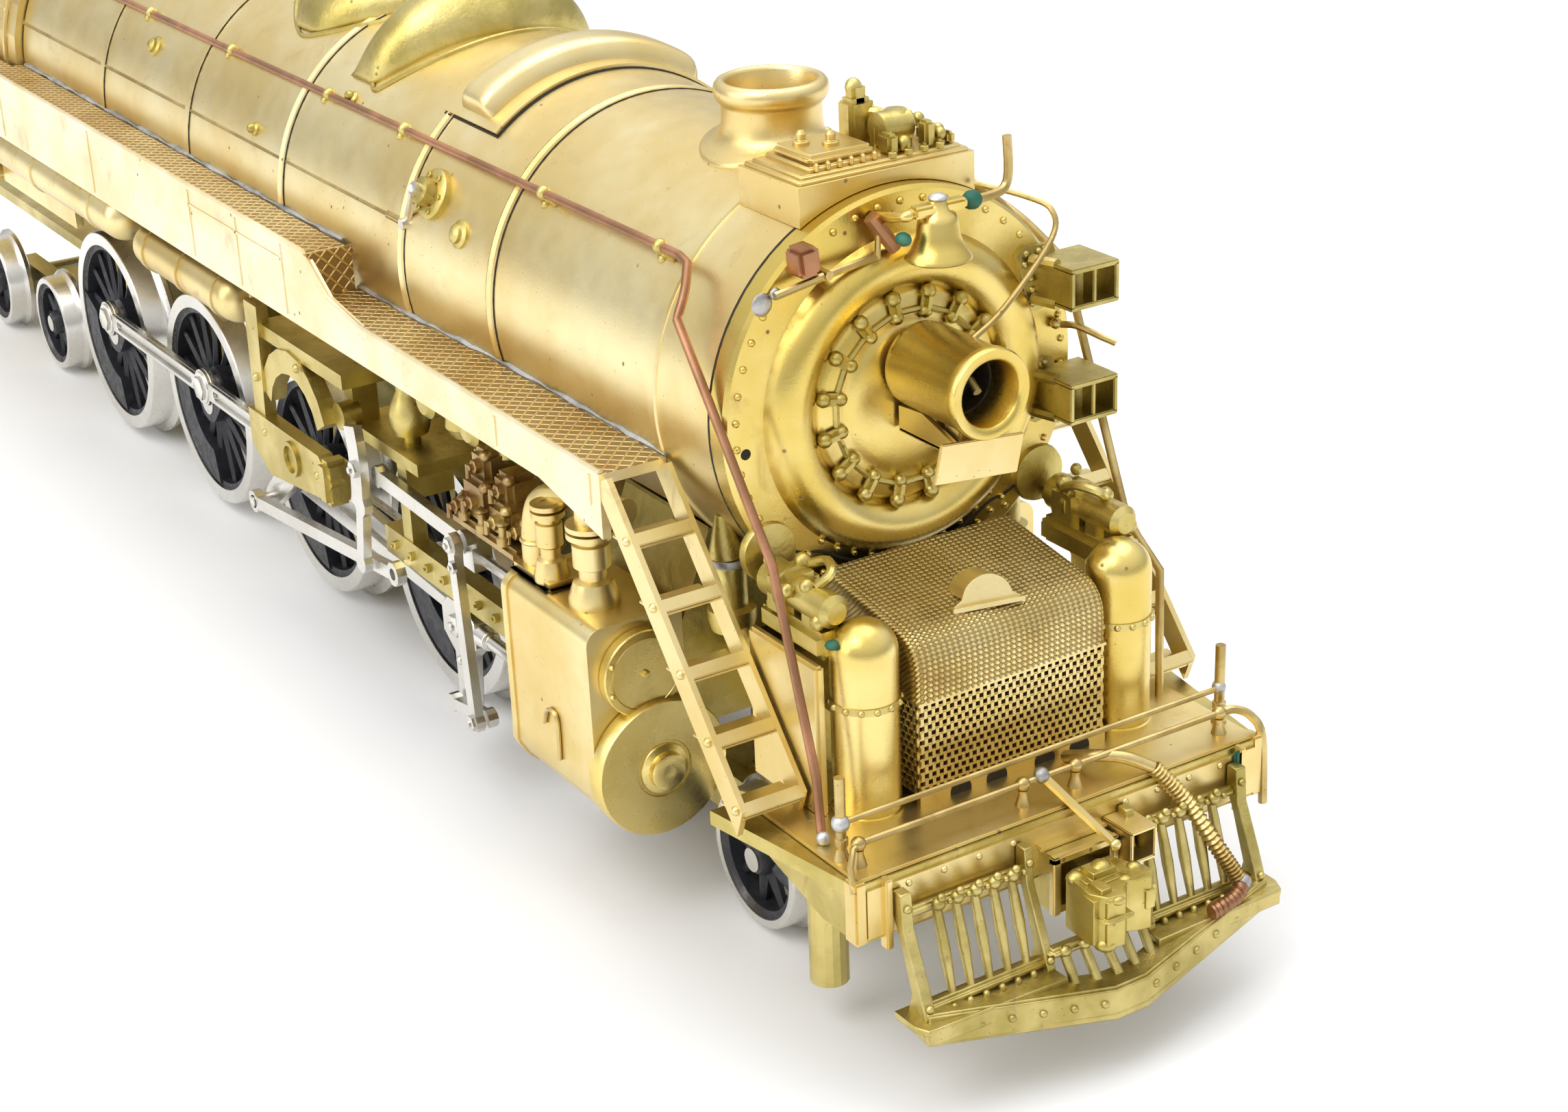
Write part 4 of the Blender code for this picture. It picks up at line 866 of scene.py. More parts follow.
# ---------------------------------------------------------------- front end
def deck():
    """Rails, uncoupling arm and plates of the pilot deck."""
    bm = bmesh.new()
    for side in SIDES:
        y = side * 14.85
        tube(bm, [(13.8, y, DECK_Z), (13.8, y, 21.5)], 0.34, 10)
        lathe(bm, [(0, 0.6), (0.35, 0.5), (1.0, 0.32), (1.3, 0.45), (1.7, 0.45), (2.0, 0)],
              (13.8, y, DECK_Z), Z, 16)
    tube(bm, [(13.8, -14.85, 18.4), (13.8, 14.85, 18.4)], 0.2, 8)
    for y in (-14.4, -2.1, 2.0, 13.8):
        lathe(bm, [(0, 0.62), (0.3, 0.5), (1.0, 0.3), (1.3, 0.32)], (15, y, DECK_Z), Z, 16)
        ball(bm, (15, y, 17.4), 0.48, Y, 1.0, 14)
    tube(bm, [(15, 13.8, 17.4), (15, -14.2, 17.4), (15.3, -15.0, 17.3), (15.9, -15.6, 16.6),
              (16.6, -15.9, 15.2)], 0.22, 8)
    tube(bm, [(15, 13.8, 17.4), (15.2, 14.9, 17.4), (15.8, 15.8, 16.9), (16.6, 16.1, 15.6),
              (16.9, 16.1, 10.9)], 0.3, 8, 5)
    piece("deck_rails", bm, WIRE)
    bm = bmesh.new()
    prism(bm, [(-0.32, 0), (0.32, 0), (0.24, 7.4), (0, 7.8), (-0.24, 7.4)], "Y", -0.13, 0.13)
    start, reach = Vector((15.0, -0.6, 17.5)), Vector((19.5, 1.6, 13.9))
    bmesh.ops.transform(bm, verts=bm.verts, matrix=Matrix.Translation(start)
                        @ (reach - start).to_track_quat("Z", "Y").to_matrix().to_4x4()
                        @ Matrix.Scale((reach - start).length / 7.8, 4, Z))
    ball(bm, reach, 0.4, X, 0.8, 10)
    piece("uncoupling_arm", bm, BRASS)
    bm = bmesh.new()
    for at, r in (((15.05, -0.7, 17.6), 0.55), ((13.8, -14.85, 18.4), 0.62),
                  ((13.8, 14.8, 18.5), 0.5), ((11.6, -14.7, 16.3), 0.5)):
        ball(bm, at, r, Y, 0.9, 10)
    piece("rail_solder", bm, SOLDER)

    bm = bmesh.new()                    # buffer beam: doubler plates, rivets, corner strips
    prism(bm, [(-15.2, 12.0), (15.2, 12.0), (15.2, 15.3), (-15.2, 15.3)], "X", 16.75, 17.0)
    for side in SIDES:
        block(bm, (16.6, side * 13.6, 11.0), (17.4, side * 14.1, 15.8), 0.1)
        block(bm, (15.6, side * 15.1, 11.6), (16.9, side * 16.0, 15.9), 0.15)
        for i in range(4):
            rivet(bm, (17.0, side * (4.4 + 2.6 * i), 14.9), X, 0.24)
        for i in range(6):
            rivet(bm, (4.8 + 1.9 * i, side * 15.9, 14.6), side * Y, 0.22)
        block(bm, (1.2, side * 12.4, 15.8), (8.9, side * 13.1, 26.2), 0.2)
    block(bm, (3.8, -15.6, 15.65), (16.6, 15.6, 15.95), 0.12)
    piece("deck_plates", bm, BRASS)


def reservoir(side):
    """Domed air reservoir on the deck, and its riveted band."""
    bm = bmesh.new()
    dome = [(26.7 + 2.1 * sin(t), 2.15 * cos(t)) for t in (i * pi / 20 for i in range(10))]
    lathe(bm, [(15.9, 0), (15.9, 2.3), (16.15, 2.3), (16.2, 2.15), *dome, (28.8, 0)],
          (TANK_X, side * TANK_Y, 0), Z, 56)
    piece(f"air_reservoir_{SIDES[side]}", bm, FACE, replaces=f"front_tank_{SIDES[side]}", angle=50)
    bm = bmesh.new()
    lathe(bm, [(23.3, 2.1), (23.3, 2.24), (23.75, 2.24), (23.75, 2.1)],
          (TANK_X, side * TANK_Y, 0), Z, 48)
    for i in range(14):
        t = i * tau / 14 + 0.2
        out = Vector((cos(t), sin(t), 0))
        rivet(bm, Vector((TANK_X, side * TANK_Y, 23.5)) + 2.22 * out, out, 0.24, 0.22)
    block(bm, (8.6, side * 7.75 - 0.25, 18.0), (9.6, side * 7.75 + 0.25, 24.4), 0.1)
    piece(f"reservoir_band_{SIDES[side]}", bm, CAST)


def pump_castings(side):
    """Pump castings behind the reservoir."""
    bm = bmesh.new()
    y = side * 11.2
    for lo, hi in (((1.6, -1.8, 26.2), (8.6, 1.3, 28.0)), ((2.2, -1.4, 27.4), (5.0, 1.2, 30.4)),
                   ((5.6, -1.3, 27.6), (7.4, 0.9, 29.3)), ((0.4, -0.8, 28.2), (2.4, 0.8, 29.6))):
        (x0, a, z0), (x1, b, z1) = lo, hi
        block(bm, (x0, y + side * a, z0), (x1, y + side * b, z1), 0.4)
    lathe(bm, [(1.2, 0), (1.2, 1.0), (1.5, 1.25), (3.2, 1.25), (3.6, 1.5), (4.0, 1.5),
               (4.1, 1.1), (8.2, 1.1), (8.6, 0.7), (8.6, 0)], (0, y, 29.2), X, 24)
    lathe(bm, [(-0.6, 1.9), (-0.2, 2.0), (0.1, 1.9), (0.2, 1.3), (0.3, 0)],
          (0.2, y - side * 0.6, 30.2), X, 28)
    for x, dy, z, r in ((6.0, 0.4, 30.2, 0.5), (3.4, -1.0, 30.6, 0.55), (7.8, 0.9, 28.6, 0.5),
                        (5.0, 1.2, 29.8, 0.45), (2.4, 0.8, 30.8, 0.4)):
        ball(bm, (x, y + side * dy, z), r, Z, 1.1, 10)
    tube(bm, [(6.4, y, 30.2), (6.8, y - side * 0.8, 31.0), (5.4, y - side * 1.5, 31.2),
              (3.6, y - side * 1.2, 30.4)], 0.32, 8, 5)
    piece(f"pump_castings_{SIDES[side]}", bm, CAST)


def front_green():
    """Verdigris on the front end."""
    bm = bmesh.new()
    ball(bm, (9.2, -12.0, 27.6), 0.5, Z, 0.6, 10)
    ball(bm, (17.0, 3.2, 13.6), 0.35, X, 0.5, 8)
    ball(bm, (17.1, -3.8, 13.2), 0.35, X, 0.5, 8)
    block(bm, (16.95, 13.3, 12.2), (17.3, 13.9, 15.6), 0.1)
    piece("front_green", bm, GREEN)


def guard():
    """Radiator guard: woven screen below, dimpled cover above, four ports at the foot."""
    # Near-black core inside the screen: painted shade seen through the mesh.
    bm = bmesh.new()
    prism(bm, [(1.5, 15.9), (10.9, 15.9), (10.9, 26.0), (10.2, 26.8), (1.5, 28.3)], "Y", -7.0, 7.0)
    piece("guard_core", bm, DARK_SEAMS_AND_SHADE, replaces="radiator_guard")
    bm = bmesh.new()
    rows, pitch, base = 13, 0.48, 16.65
    for i in range(rows + 1):
        z = base + i * pitch
        block(bm, (11.0, -7.2, z - 0.09), (11.3, 7.2, z + 0.09), 0)
        for side in SIDES:
            block(bm, (2.0, side * 7.16 - 0.1, z - 0.07), (11.1, side * 7.16 + 0.1, z + 0.07), 0)
        if i == rows:
            break
        for k in range(26):
            y = -7.05 + 0.564 * (k + 0.5 * (i % 2))
            if y < 7.1:
                block(bm, (11.05, y - 0.12, z), (11.38, y + 0.12, z + pitch), 0)
        for side in SIDES:
            for k in range(16):
                x = 2.2 + 0.57 * (k + 0.5 * (i % 2))
                block(bm, (x - 0.09, side * 7.2 - 0.1, z), (x + 0.09, side * 7.2 + 0.1, z + pitch),
                      0)
    piece("guard_screen", bm, BRASS)
    bm = bmesh.new()
    prism(bm, [(-7.3, 15.7), (7.3, 15.7), (7.3, 16.75), (-7.3, 16.75)], "X", 11.0, 11.4)
    prism(bm, [(11.42, 22.8), (11.42, 23.0), (1.5, 23.0), (1.5, 22.8)], "Y", -7.32, 7.32)
    piece("guard_foot", bm, BRASS)
    # Near-black discs for the four ports: painted shade.
    bm = bmesh.new()
    for y in (-4.2, -1.4, 2.4, 5.2):
        lathe(bm, [(-0.2, 0.8), (0.03, 0.8), (0.04, 0)], (11.4, y, 16.1), X, 24)
    piece("guard_ports", bm, DARK_SEAMS_AND_SHADE)

    # cover: cross-section swept across, corners rounded at both sides
    section = [(11.45, 22.95), (11.45, 25.0), (11.35, 25.7), (11.05, 26.35), (10.6, 26.85),
               (10.0, 27.15), (9.2, 27.35), (5.4, 27.95), (1.5, 28.6)]
    rings = []
    for y, inset in ((-7.42, 0.75), (-7.38, 0.4), (-7.15, 0.14), (-6.7, 0.0), (6.7, 0.0),
                     (7.15, 0.14), (7.38, 0.4), (7.42, 0.75)):
        ring = []
        for x, z in section:
            back = min(1.0, max(0.0, (z - 23.0) / 1.5))
            ring.append(Vector((x - inset * (1 if x > 9 else 0.3), y, z - inset * back)))
        ring += [Vector((1.5, y, 22.95))]
        rings.append(ring)
    bm = bmesh.new()
    skin(bm, rings)
    piece("guard_cover", bm, DIMPLED, angle=50)

    bm = bmesh.new()                    # lifting lug on the cover
    turn = Matrix.Translation((8.6, -0.5, 27.25)) @ Matrix.Rotation(radians(-12), 4, "Z") \
        @ Matrix.Rotation(radians(-12), 4, "Y")
    part = bmesh.new()
    lug = [(-2.3, 0), *arc(0.0, 0.0, 1.75, 168, 12, 16), (2.3, 0), (2.3, -0.3), (-2.3, -0.3)]
    prism(part, lug, "X", 0.9, 1.15)
    strip = [(1.75 * cos(radians(a)), 1.75 * sin(radians(a)))
             for a in range(165, 50, -8)]
    inner = [(0.9 * y, 0.9 * z) for y, z in reversed(strip)]
    prism(part, strip + inner, "X", -1.2, 1.0)
    prism(part, [(-2.5, -0.3), (2.4, -0.3), (2.4, 0.0), (-2.5, 0.0)], "X", 0.6, 1.5)
    merge(bm, part, turn)
    piece("guard_lug", bm, BRASS, bevel=0.08)


def hose():
    """Wound brake hose and its end."""
    bm = bmesh.new()
    tube(bm, [(12.0, 3.6, 16.2), (14.0, 4.0, 17.0), (15.5, 5.4, 17.1), (16.6, 7.0, 16.3)],
         0.42, 10, 5)
    centre = curve([(16.6, 7.0, 16.3), (17.8, 8.6, 14.0), (19.3, 10.2, 10.6), (20.3, 11.3, 8.2)],
                   40)
    total = len(centre) - 1
    tube(bm, centre, lambda t: 0.5 + 0.09 * sin(t * total * tau / 4.0), 12)
    piece("brake_hose", bm, WIRE)
    bm = bmesh.new()
    tube(bm, [(20.4, 11.4, 8.2), (21.0, 10.4, 7.9), (21.3, 9.2, 7.8), (21.4, 7.9, 7.7)],
         lambda t: 0.48 + 0.07 * sin(60 * t), 10, 12)
    piece("hose_end", bm, COPPER)
    bm = bmesh.new()
    ball(bm, (20.4, 11.4, 8.2), 0.6, X, 0.9, 12)
    piece("hose_solder", bm, SOLDER)


def pilot():
    """Barred pilot with footboards, and the V board below it."""
    bm = bmesh.new()
    top, foot = Vector((17.8, 0, 13.3)), Vector((19.4, 0, 7.7))
    for side in SIDES:
        for i in range(5):
            y = side * (5.2 + 1.4 * i)
            tube(bm, [top + y * Y, foot + y * Y],
                 lambda t: 0.26 + 0.14 * (1 - abs(2 * t - 0.9)), 10, 4)
            ball(bm, top + y * Y + Vector((0.25, 0, 0.15)), 0.46, X, 0.9, 12)
            rivet(bm, (18.15, y + 0.1, 13.9), X, 0.32, 0.35)
            rivet(bm, (18.15, y + 0.7, 13.5), X, 0.22, 0.3)
        y0, y1 = side * 3.7, side * 12.9
        block(bm, (17.2, y0, 12.9), (17.9, y1, 13.6), 0.2)
        block(bm, (18.9, y0, 7.2), (19.9, y1, 8.0), 0.25)
        for y, w in ((side * 13.1, 0.4), (side * 4.0, 0.3)):
            prism(bm, [(17.1, 14.9), (18.0, 14.9), (18.2, 12.6), (19.6, 9.4), (20.4, 7.4),
                       (20.2, 6.9), (18.4, 6.9), (18.9, 8.6), (17.7, 12.0), (17.1, 13.2)], "Y",
                  y - w, y + w)
            rivet(bm, (18.1, y, 13.9), X, 0.3, 0.3)
            rivet(bm, (20.2, y, 8.0), X, 0.3, 0.3)
        plank = [(18.2, side * 3.7), (21.5, side * 3.6), (21.3, side * 13.9),
                 (20.4, side * 14.3), (18.2, side * 14.3)]
        prism(bm, plank, "Z", 6.85, 7.3)
        prism(bm, [(21.5, side * 3.6), (21.35, side * 13.8), (20.95, side * 13.8),
                   (21.1, side * 3.6)], "Z", 6.2, 7.2)
        for i in range(7):
            rivet(bm, (20.1, side * (5.2 + 1.2 * i), 7.3), Z, 0.28, 0.4)
    above = len(bm.verts)
    board = [(20.0, -13.4), (20.5, -13.3), (23.3, -1.2), (23.3, 1.2), (20.5, 13.3), (20.0, 13.4),
             (22.7, 1.1), (22.7, -1.1)]
    prism(bm, board, "Z", 4.75, 6.7)
    for lo, hi, out in ((4.6, 5.05, 0.35), (6.45, 6.85, 0.1)):
        ledge = [(18.5, -13.2), (20.4, -13.4), (23.0 + out, -1.2), (23.0 + out, 1.2),
                 (20.4, 13.4), (18.5, 13.2), (21.2, 1.1), (21.2, -1.1)]
        prism(bm, ledge, "Z", lo, hi)
    for i in range(6):
        for side in SIDES:
            t = (i + 0.4) / 6
            at = Vector((23.25 - 2.8 * t, side * (1.2 + 12.1 * t), 5.8))
            rivet(bm, at, Vector((0.97, side * 0.23, 0)), 0.3, 0.3)
    bm.verts.ensure_lookup_table()
    for v in bm.verts[above:]:          # the V board's ends stand higher than its point
        v.co.z += 0.1 * abs(v.co.y) - 0.4
    for y in (-3.0, -1.5, 0, 1.5, 3.0):
        tube(bm, [(20.2, y, 8.4), (22.0 - 0.15 * abs(y), y, 6.4)], 0.34, 10)
        ball(bm, (20.4, y, 8.4), 0.42, X, 0.9, 10)
    block(bm, (19.4, -4.1, 8.0), (20.5, 4.1, 8.7), 0.25)
    piece("pilot_casting", bm, GRIME, replaces="pilot", bevel=0.1)


def coupler():
    """Knuckle on its own body, and the fixed pocket round its shank."""
    bm = bmesh.new()
    block(bm, (16.5, -0.9, 10.9), (20.6, 0.9, 12.9), 0.2)
    outline = [(19.0, -1.5), (19.4, -2.2), (22.0, -2.4), (23.0, -1.8), (23.2, -0.6), (22.5, -0.2),
               (22.1, 0.4), (22.4, 1.0), (22.6, 1.9), (22.1, 2.5), (21.2, 2.5), (20.4, 2.0),
               (19.0, 1.5)]
    prism(bm, outline, "Z", 9.4, 13.0)
    block(bm, (20.6, -2.5, 9.0), (23.1, -0.5, 13.3), 0.6)
    block(bm, (19.3, -1.9, 12.4), (21.6, 0.9, 13.6), 0.5)
    for at, r in (((20.4, -0.3, 13.4), 0.7), ((22.4, -1.5, 9.5), 0.8), ((19.8, -1.8, 12.9), 0.6),
                  ((21.6, 0.6, 12.7), 0.6), ((22.9, -1.0, 12.6), 0.5), ((20.9, 1.9, 12.9), 0.5)):
        ball(bm, at, r, Z, 0.7, 12)
    block(bm, (21.2, 1.0, 10.4), (22.7, 2.6, 12.6), 0.45)
    block(bm, (20.6, -2.2, 11.2), (23.4, 0.1, 11.6), 0.15)
    piece("knuckle", bm, CAST, "coupler", replaces="coupler", bevel=0.3)
    bm = bmesh.new()
    for y0, z0, y1, z1 in ((2.6, 12.2, 2.85, 14.4), (4.45, 12.2, 4.7, 14.4),
                           (2.6, 14.2, 4.7, 14.45), (2.6, 12.1, 4.7, 12.35)):
        block(bm, (17.0, y0, z0), (19.8, y1, z1), 0.07)
    for y0, z0, y1, z1 in ((-2.6, 13.4, 2.55, 13.95), (-2.6, 9.8, -2.0, 13.9),
                           (2.0, 9.8, 2.55, 13.9)):
        block(bm, (18.2, y0, z0), (18.75, y1, z1), 0.1)
    block(bm, (16.8, -2.7, 13.85), (17.6, 2.6, 14.2), 0.1)
    piece("coupler_pocket", bm, BRASS)


# ---------------------------------------------------------------- boards and ladders
def boards():
    """Tread plate and edges of the running boards."""
    for side in SIDES:
        s = SIDES[side]
        bm = bmesh.new()
        low = [(-52.3, side * 18.0), (-7.8, side * 18.0), (-7.8, side * 13.3),
               (-30.5, side * 13.5), (-43.5, side * 14.1), (-52.3, side * 14.2)]
        prism(bm, low, "Z", BOARD_Z - 0.05, BOARD_Z + 0.07)
        high = [(-149.8, side * 18.0), (-52.8, side * 18.0), (-52.8, side * 14.8),
                (-127.6, side * 14.8), (-127.6, side * 15.7), (-149.8, side * 15.7)]
        prism(bm, high, "Z", BOARD_HIGH_Z - 0.05, BOARD_HIGH_Z + 0.07)
        prism(bm, [(side * 17.9, 34.6), (side * 17.9, 38.2), (side * 14.3, 38.2),
                   (side * 14.3, 34.6)], "X", -52.45, -52.25)
        piece(f"board_tread_{s}", bm, TREAD)
        bm = bmesh.new()
        edge = [(-150.0, BOARD_HIGH_Z + 0.08), (-53.0, BOARD_HIGH_Z + 0.08), (-49.0, 35.7),
                (-43.5, BOARD_Z + 0.1), (-7.8, BOARD_Z + 0.1)]
        tube(bm, [(x, side * 17.95, z) for x, z in edge], 0.2, 6)
        for x in (-9.0, -22.0, -57.0, -66.0, -76.0, -100.0, -125.0):
            z1 = 34.4 if x > -50 else 37.9
            block(bm, (x - 0.12, side * 18.1, 32.3), (x + 0.12, side * 18.2, z1), 0)
        block(bm, (-76.0, side * 18.1, 36.6), (-57.0, side * 18.2, 36.8), 0)
        # Board edges in the paler brass: painted highlight.
        piece(f"board_edges_{s}", bm, BRASS_PAINTED_HIGHLIGHT)


def ladders():
    """Stringers with deep treads: each tread is a step plate behind a bright lip."""
    top, foot = Vector((-7.6, 0, 34.6)), Vector((7.9, 0, 16.2))
    slope = (foot - top).normalized()
    length = (foot - top).length
    lean = Matrix.Rotation(atan2(top.z - foot.z, foot.x - top.x), 4, "Y")
    for side in SIDES:
        bm = bmesh.new()
        for y, wide in ((13.3, 0.35), (17.65, 0.4)):
            part = bmesh.new()
            prism(part, [(0, -1.1), (length, -1.1), (length - 1.0, 0.7), (0.4, 0.7)], "Y",
                  side * y, side * (y + wide))
            merge(bm, part, Matrix.Translation(top) @ lean)
        y0, y1 = side * 13.5, side * 17.9
        for i in range(LADDER_STEPS):
            at = top + slope * (4.7 + 4.55 * i)
            block(bm, (at.x - 2.2, y0, at.z - 0.3), (at.x + 0.5, y1, at.z - 0.1), 0.05)
            part = bmesh.new()
            block(part, (-0.42, y0, 0.35), (0.42, y1, 0.68), 0.06)
            merge(bm, part, Matrix.Translation(at) @ lean)
            for y in (13.35, 17.75):
                ball(bm, (at.x - 0.1, side * (y + 0.3), at.z + 0.2), 0.34, Y, 0.9, 8)
        piece(f"ladder_steps_{SIDES[side]}", bm, BRASS, replaces=f"ladder_{SIDES[side]}")


# ---------------------------------------------------------------- cylinders and brackets
def cylinder_block(side):
    """Jacket over cylinder and valve chest, with its end flanges."""
    bm = bmesh.new()
    outline = [(11.2, 8.2), *arc(13.8, CYL_Z, 4.85, -122, -20, 20), (18.3, 11.4),
               *arc(17.2, 21.5, 1.1, 0, 90, 6), (11.2, 22.6)]
    prism(bm, [(side * y, z) for y, z in outline], "X", -22.5, -10.6)
    outline = [(11.1, 8.1), *arc(13.8, CYL_Z, 5.0, -122, -20, 20), (18.42, 11.4),
               *arc(17.3, 21.6, 1.14, 0, 90, 6), (11.1, 22.74)]
    for x in (-22.6, -11.2):
        prism(bm, [(side * y, z) for y, z in outline], "X", x, x + 0.7)
    lathe(bm, [(-24.4, 0.75), (-24.4, 1.9), (-22.2, 2.6)], (0, side * GUIDE_Y, CYL_Z), X, 32)
    lathe(bm, [(-24.5, 0.62), (-24.5, 1.3), (-22.2, 1.8)], (0, side * VALVE_Y, VALVE_Z), X, 28)
    piece(f"cylinder_block_{SIDES[side]}", bm, BRASS, replaces=f"cylinder_{SIDES[side]}",
          bevel=0.15)


def cylinder_heads(side):
    """Turned front heads: plain discs with a boss."""
    bm = bmesh.new()
    lathe(bm, [(-11.0, 4.75), (-10.5, 4.75), (-10.4, 4.95), (-9.25, 4.95), (-9.1, 4.85),
               (-9.08, 2.1), (-9.2, 2.02), (-9.2, 1.86), (-9.05, 1.78), (-8.95, 1.5),
               (-8.9, 1.35), (-8.45, 1.3), (-8.4, 1.2), (-8.42, 0.35), (-8.46, 0)],
          (0, side * CYL_Y, CYL_Z), X, 72)
    lathe(bm, [(-11.0, 2.95), (-10.5, 2.95), (-10.4, 3.1), (-9.75, 3.1), (-9.65, 3.02),
               (-9.6, 2.6), (-9.68, 2.55), (-9.62, 2.5), (-9.6, 0.28), (-9.35, 0.26),
               (-9.3, 0)], (0, side * VALVE_Y, VALVE_Z), X, 56)
    for a in (155, 200):
        t = radians(a)
        rivet(bm, (-9.62, side * VALVE_Y - side * 2.8 * cos(t), VALVE_Z + 2.8 * sin(t)), X, 0.2, 0.3)
    piece(f"cylinder_heads_{SIDES[side]}", bm, FACE)


def relief_valves(side):
    """Relief valves on the steam chest, an elbow and the drain cocks."""
    bm = bmesh.new()
    for x, y, k, top in ((-14.6, 15.4, 1.0, 30.6), (-19.4, 16.0, 0.72, 28.4)):
        lathe(bm, [(22.3, 1.75 * k), (23.2, 1.75 * k), (24.3, 1.35 * k), (24.5, 0.95 * k),
                   (25.2, 0.95 * k), (25.4, 1.3 * k), (27.0, 1.3 * k), (27.1, 1.05 * k),
                   (27.4, 1.05 * k), (27.5, 1.65 * k), (27.9, 1.65 * k), (27.95, 1.1 * k),
                   (28.1, 1.65 * k), (28.45, 1.65 * k), (28.5, 1.0 * k), (top, 0.95 * k),
                   (top, 0)], (x, side * y, 0), Z, 28)
    tube(bm, [(-22.0, side * 15.6, 22.4), (-22.2, side * 15.5, 25.4), (-21.6, side * 15.2, 27.6),
              (-19.0, side * 14.4, 28.6), (-13.0, side * 13.4, 29.2)],
         lambda t: 1.15 - 0.25 * t, 16, 7)
    lathe(bm, [(24.6, 1.2), (24.75, 1.28), (24.9, 1.2)], (-22.1, side * 15.55, 0), Z, 20)
    block(bm, (-23.4, side * 14.0, 22.4), (-17.6, side * 17.4, 23.1), 0.35)
    for x in (-20.5, -12.5):
        lathe(bm, [(6.3, 0.35), (7.4, 0.5), (7.6, 0.3), (8.4, 0.3)], (x, side * CYL_Y, 0), Z, 12)
    piece(f"relief_valves_{SIDES[side]}", bm, BRASS)


def jacket_trim(side):
    """Raised trim on the jacket."""
    bm = bmesh.new()
    tube(bm, [(-15.6, side * 18.45, 11.2), (-15.5, side * 18.45, 13.8),
              (-15.9, side * 18.45, 14.7), (-16.9, side * 18.45, 14.5),
              (-17.5, side * 18.45, 13.3)], 0.16, 6, 4)
    piece(f"jacket_trim_{SIDES[side]}", bm, WIRE)


def lubricator(side):
    """Lumpy stepped casting with caps and small pipes."""
    bm = bmesh.new()
    block(bm, (-34.6, side * 12.0, 21.9), (-24.6, side * 16.2, 22.9), 0.3)
    for x, y, z, dx, dy, dz in (
            (-31.5, 14.0, 24.4, 1.9, 1.7, 1.7), (-28.0, 14.2, 24.0, 1.5, 1.5, 1.3),
            (-31.8, 13.8, 26.9, 1.3, 1.2, 1.2), (-28.6, 13.6, 26.0, 1.3, 1.3, 1.2),
            (-25.9, 13.8, 23.8, 1.0, 1.3, 1.0), (-33.4, 15.2, 23.6, 0.8, 0.8, 0.9)):
        block(bm, (x - dx, side * y - dy, z - dz), (x + dx, side * y + dy, z + dz), 0.4)
        bolt(bm, (x, side * (y + dy), z), side * Y, 0.55, 0.5)
        ball(bm, (x + 0.7 * dx, side * (y + 0.8 * dy), z + 0.8 * dz), 0.5, Z, 0.9, 10)
        tube(bm, [(x - 0.5, side * (y + dy), z), (x - 0.5, side * (y + dy + 0.6), z),
                  (x - 0.3, side * (y + dy + 0.7), z - 0.9)], 0.2, 8)
    for x, y in ((-32.6, 16.0), (-29.6, 16.1), (-26.6, 16.0)):
        lathe(bm, [(22.8, 0.5), (23.4, 0.5), (23.5, 0.3), (24.2, 0.3), (24.4, 0.5), (24.8, 0)],
              (x, side * y, 0), Z, 14)
    piece(f"lubricator_{SIDES[side]}", bm, RUST)


def steam_pipe(side):
    """Pipe from the smokebox down to the cylinder, with its soldered joint."""
    bm = bmesh.new()
    tube(bm, [(-4.4, side * 11.2, 31.4), (-4.2, side * 11.1, 28.6)],
         lambda t: 0.5 + 0.75 * t, 16, 4)
    lathe(bm, [(-4.9, 0), (-4.9, 1.4), (-4.2, 1.6), (-3.4, 1.6), (-3.2, 1.1), (0, 1.05),
               (0.2, 0)], (-4.1, side * 11.0, 28.4), Z, 24)
    tube(bm, [(-4.1, side * 11.0, 25), (-3.2, side * 11.0, 23.4), (-0.8, side * 11.0, 22.6),
              (0.6, side * 11.0, 21.4), (1.0, side * 11.0, 16.0)], 0.85, 14, 6)
    piece(f"steam_pipe_{SIDES[side]}", bm, CAST)
    bm = bmesh.new()
    lathe(bm, [(-0.25, 1.45), (0, 1.5), (0.25, 1.45)], (-4.2, side * 11.0, 28.35), Z, 20)
    piece(f"pipe_joint_{SIDES[side]}", bm, SOLDER)


def gear_castings(side):
    """Bolts, pads and small castings on the guides and the valve-gear frame."""
    bm = bmesh.new()
    for i in range(9):
        bolt(bm, (-47.5 + 2.8 * i, side * 15.1, 15.3), side * Y, 0.35, 0.35)
    lathe(bm, [(-0.1, 0.0), (-0.1, 1.5), (0.3, 1.5), (0.3, 1.15), (0.0, 1.1), (0.0, 0)],
          (-61.0, side * 17.55, 18.8), side * Y, 28)
    for x, z in ((-66.5, 19.4), (-56.2, 18.9), (-58.2, 27.3), (-67.2, 24.0)):
        rivet(bm, (x, side * 17.45, z), side * Y, 0.4, 0.35)
    block(bm, (-55.4, side * 15.6, 16.9), (-53.6, side * 17.9, 20.7), 0.4)
    lathe(bm, [(-0.8, 0.0), (-0.8, 1.1), (0.8, 1.1), (0.8, 0)], (-53.8, side * 15.4, 24.3), Y, 20)
    lathe(bm, [(23.6, 0.7), (24.2, 0.7), (24.4, 1.35), (25.2, 1.6), (26.2, 1.6), (27.2, 1.2),
               (27.8, 0.9), (30.5, 0.9)], (-47.0, side * 13.2, 0), Z, 24)
    for x in (-38.5, -31.5):
        lathe(bm, [(29.4, 0.6), (29.0, 1.3), (27.4, 1.5), (26.6, 1.0), (26.4, 0)],
              (x, side * 12.6, 0), Z, 22)
        lathe(bm, [(-1.9, 0), (-1.9, 1.0), (-1.5, 1.4), (1.5, 1.4), (1.9, 1.0), (1.9, 0)],
              (x, side * 14.0, 30.0), Y, 22)
    piece(f"gear_castings_{SIDES[side]}", bm, CAST)


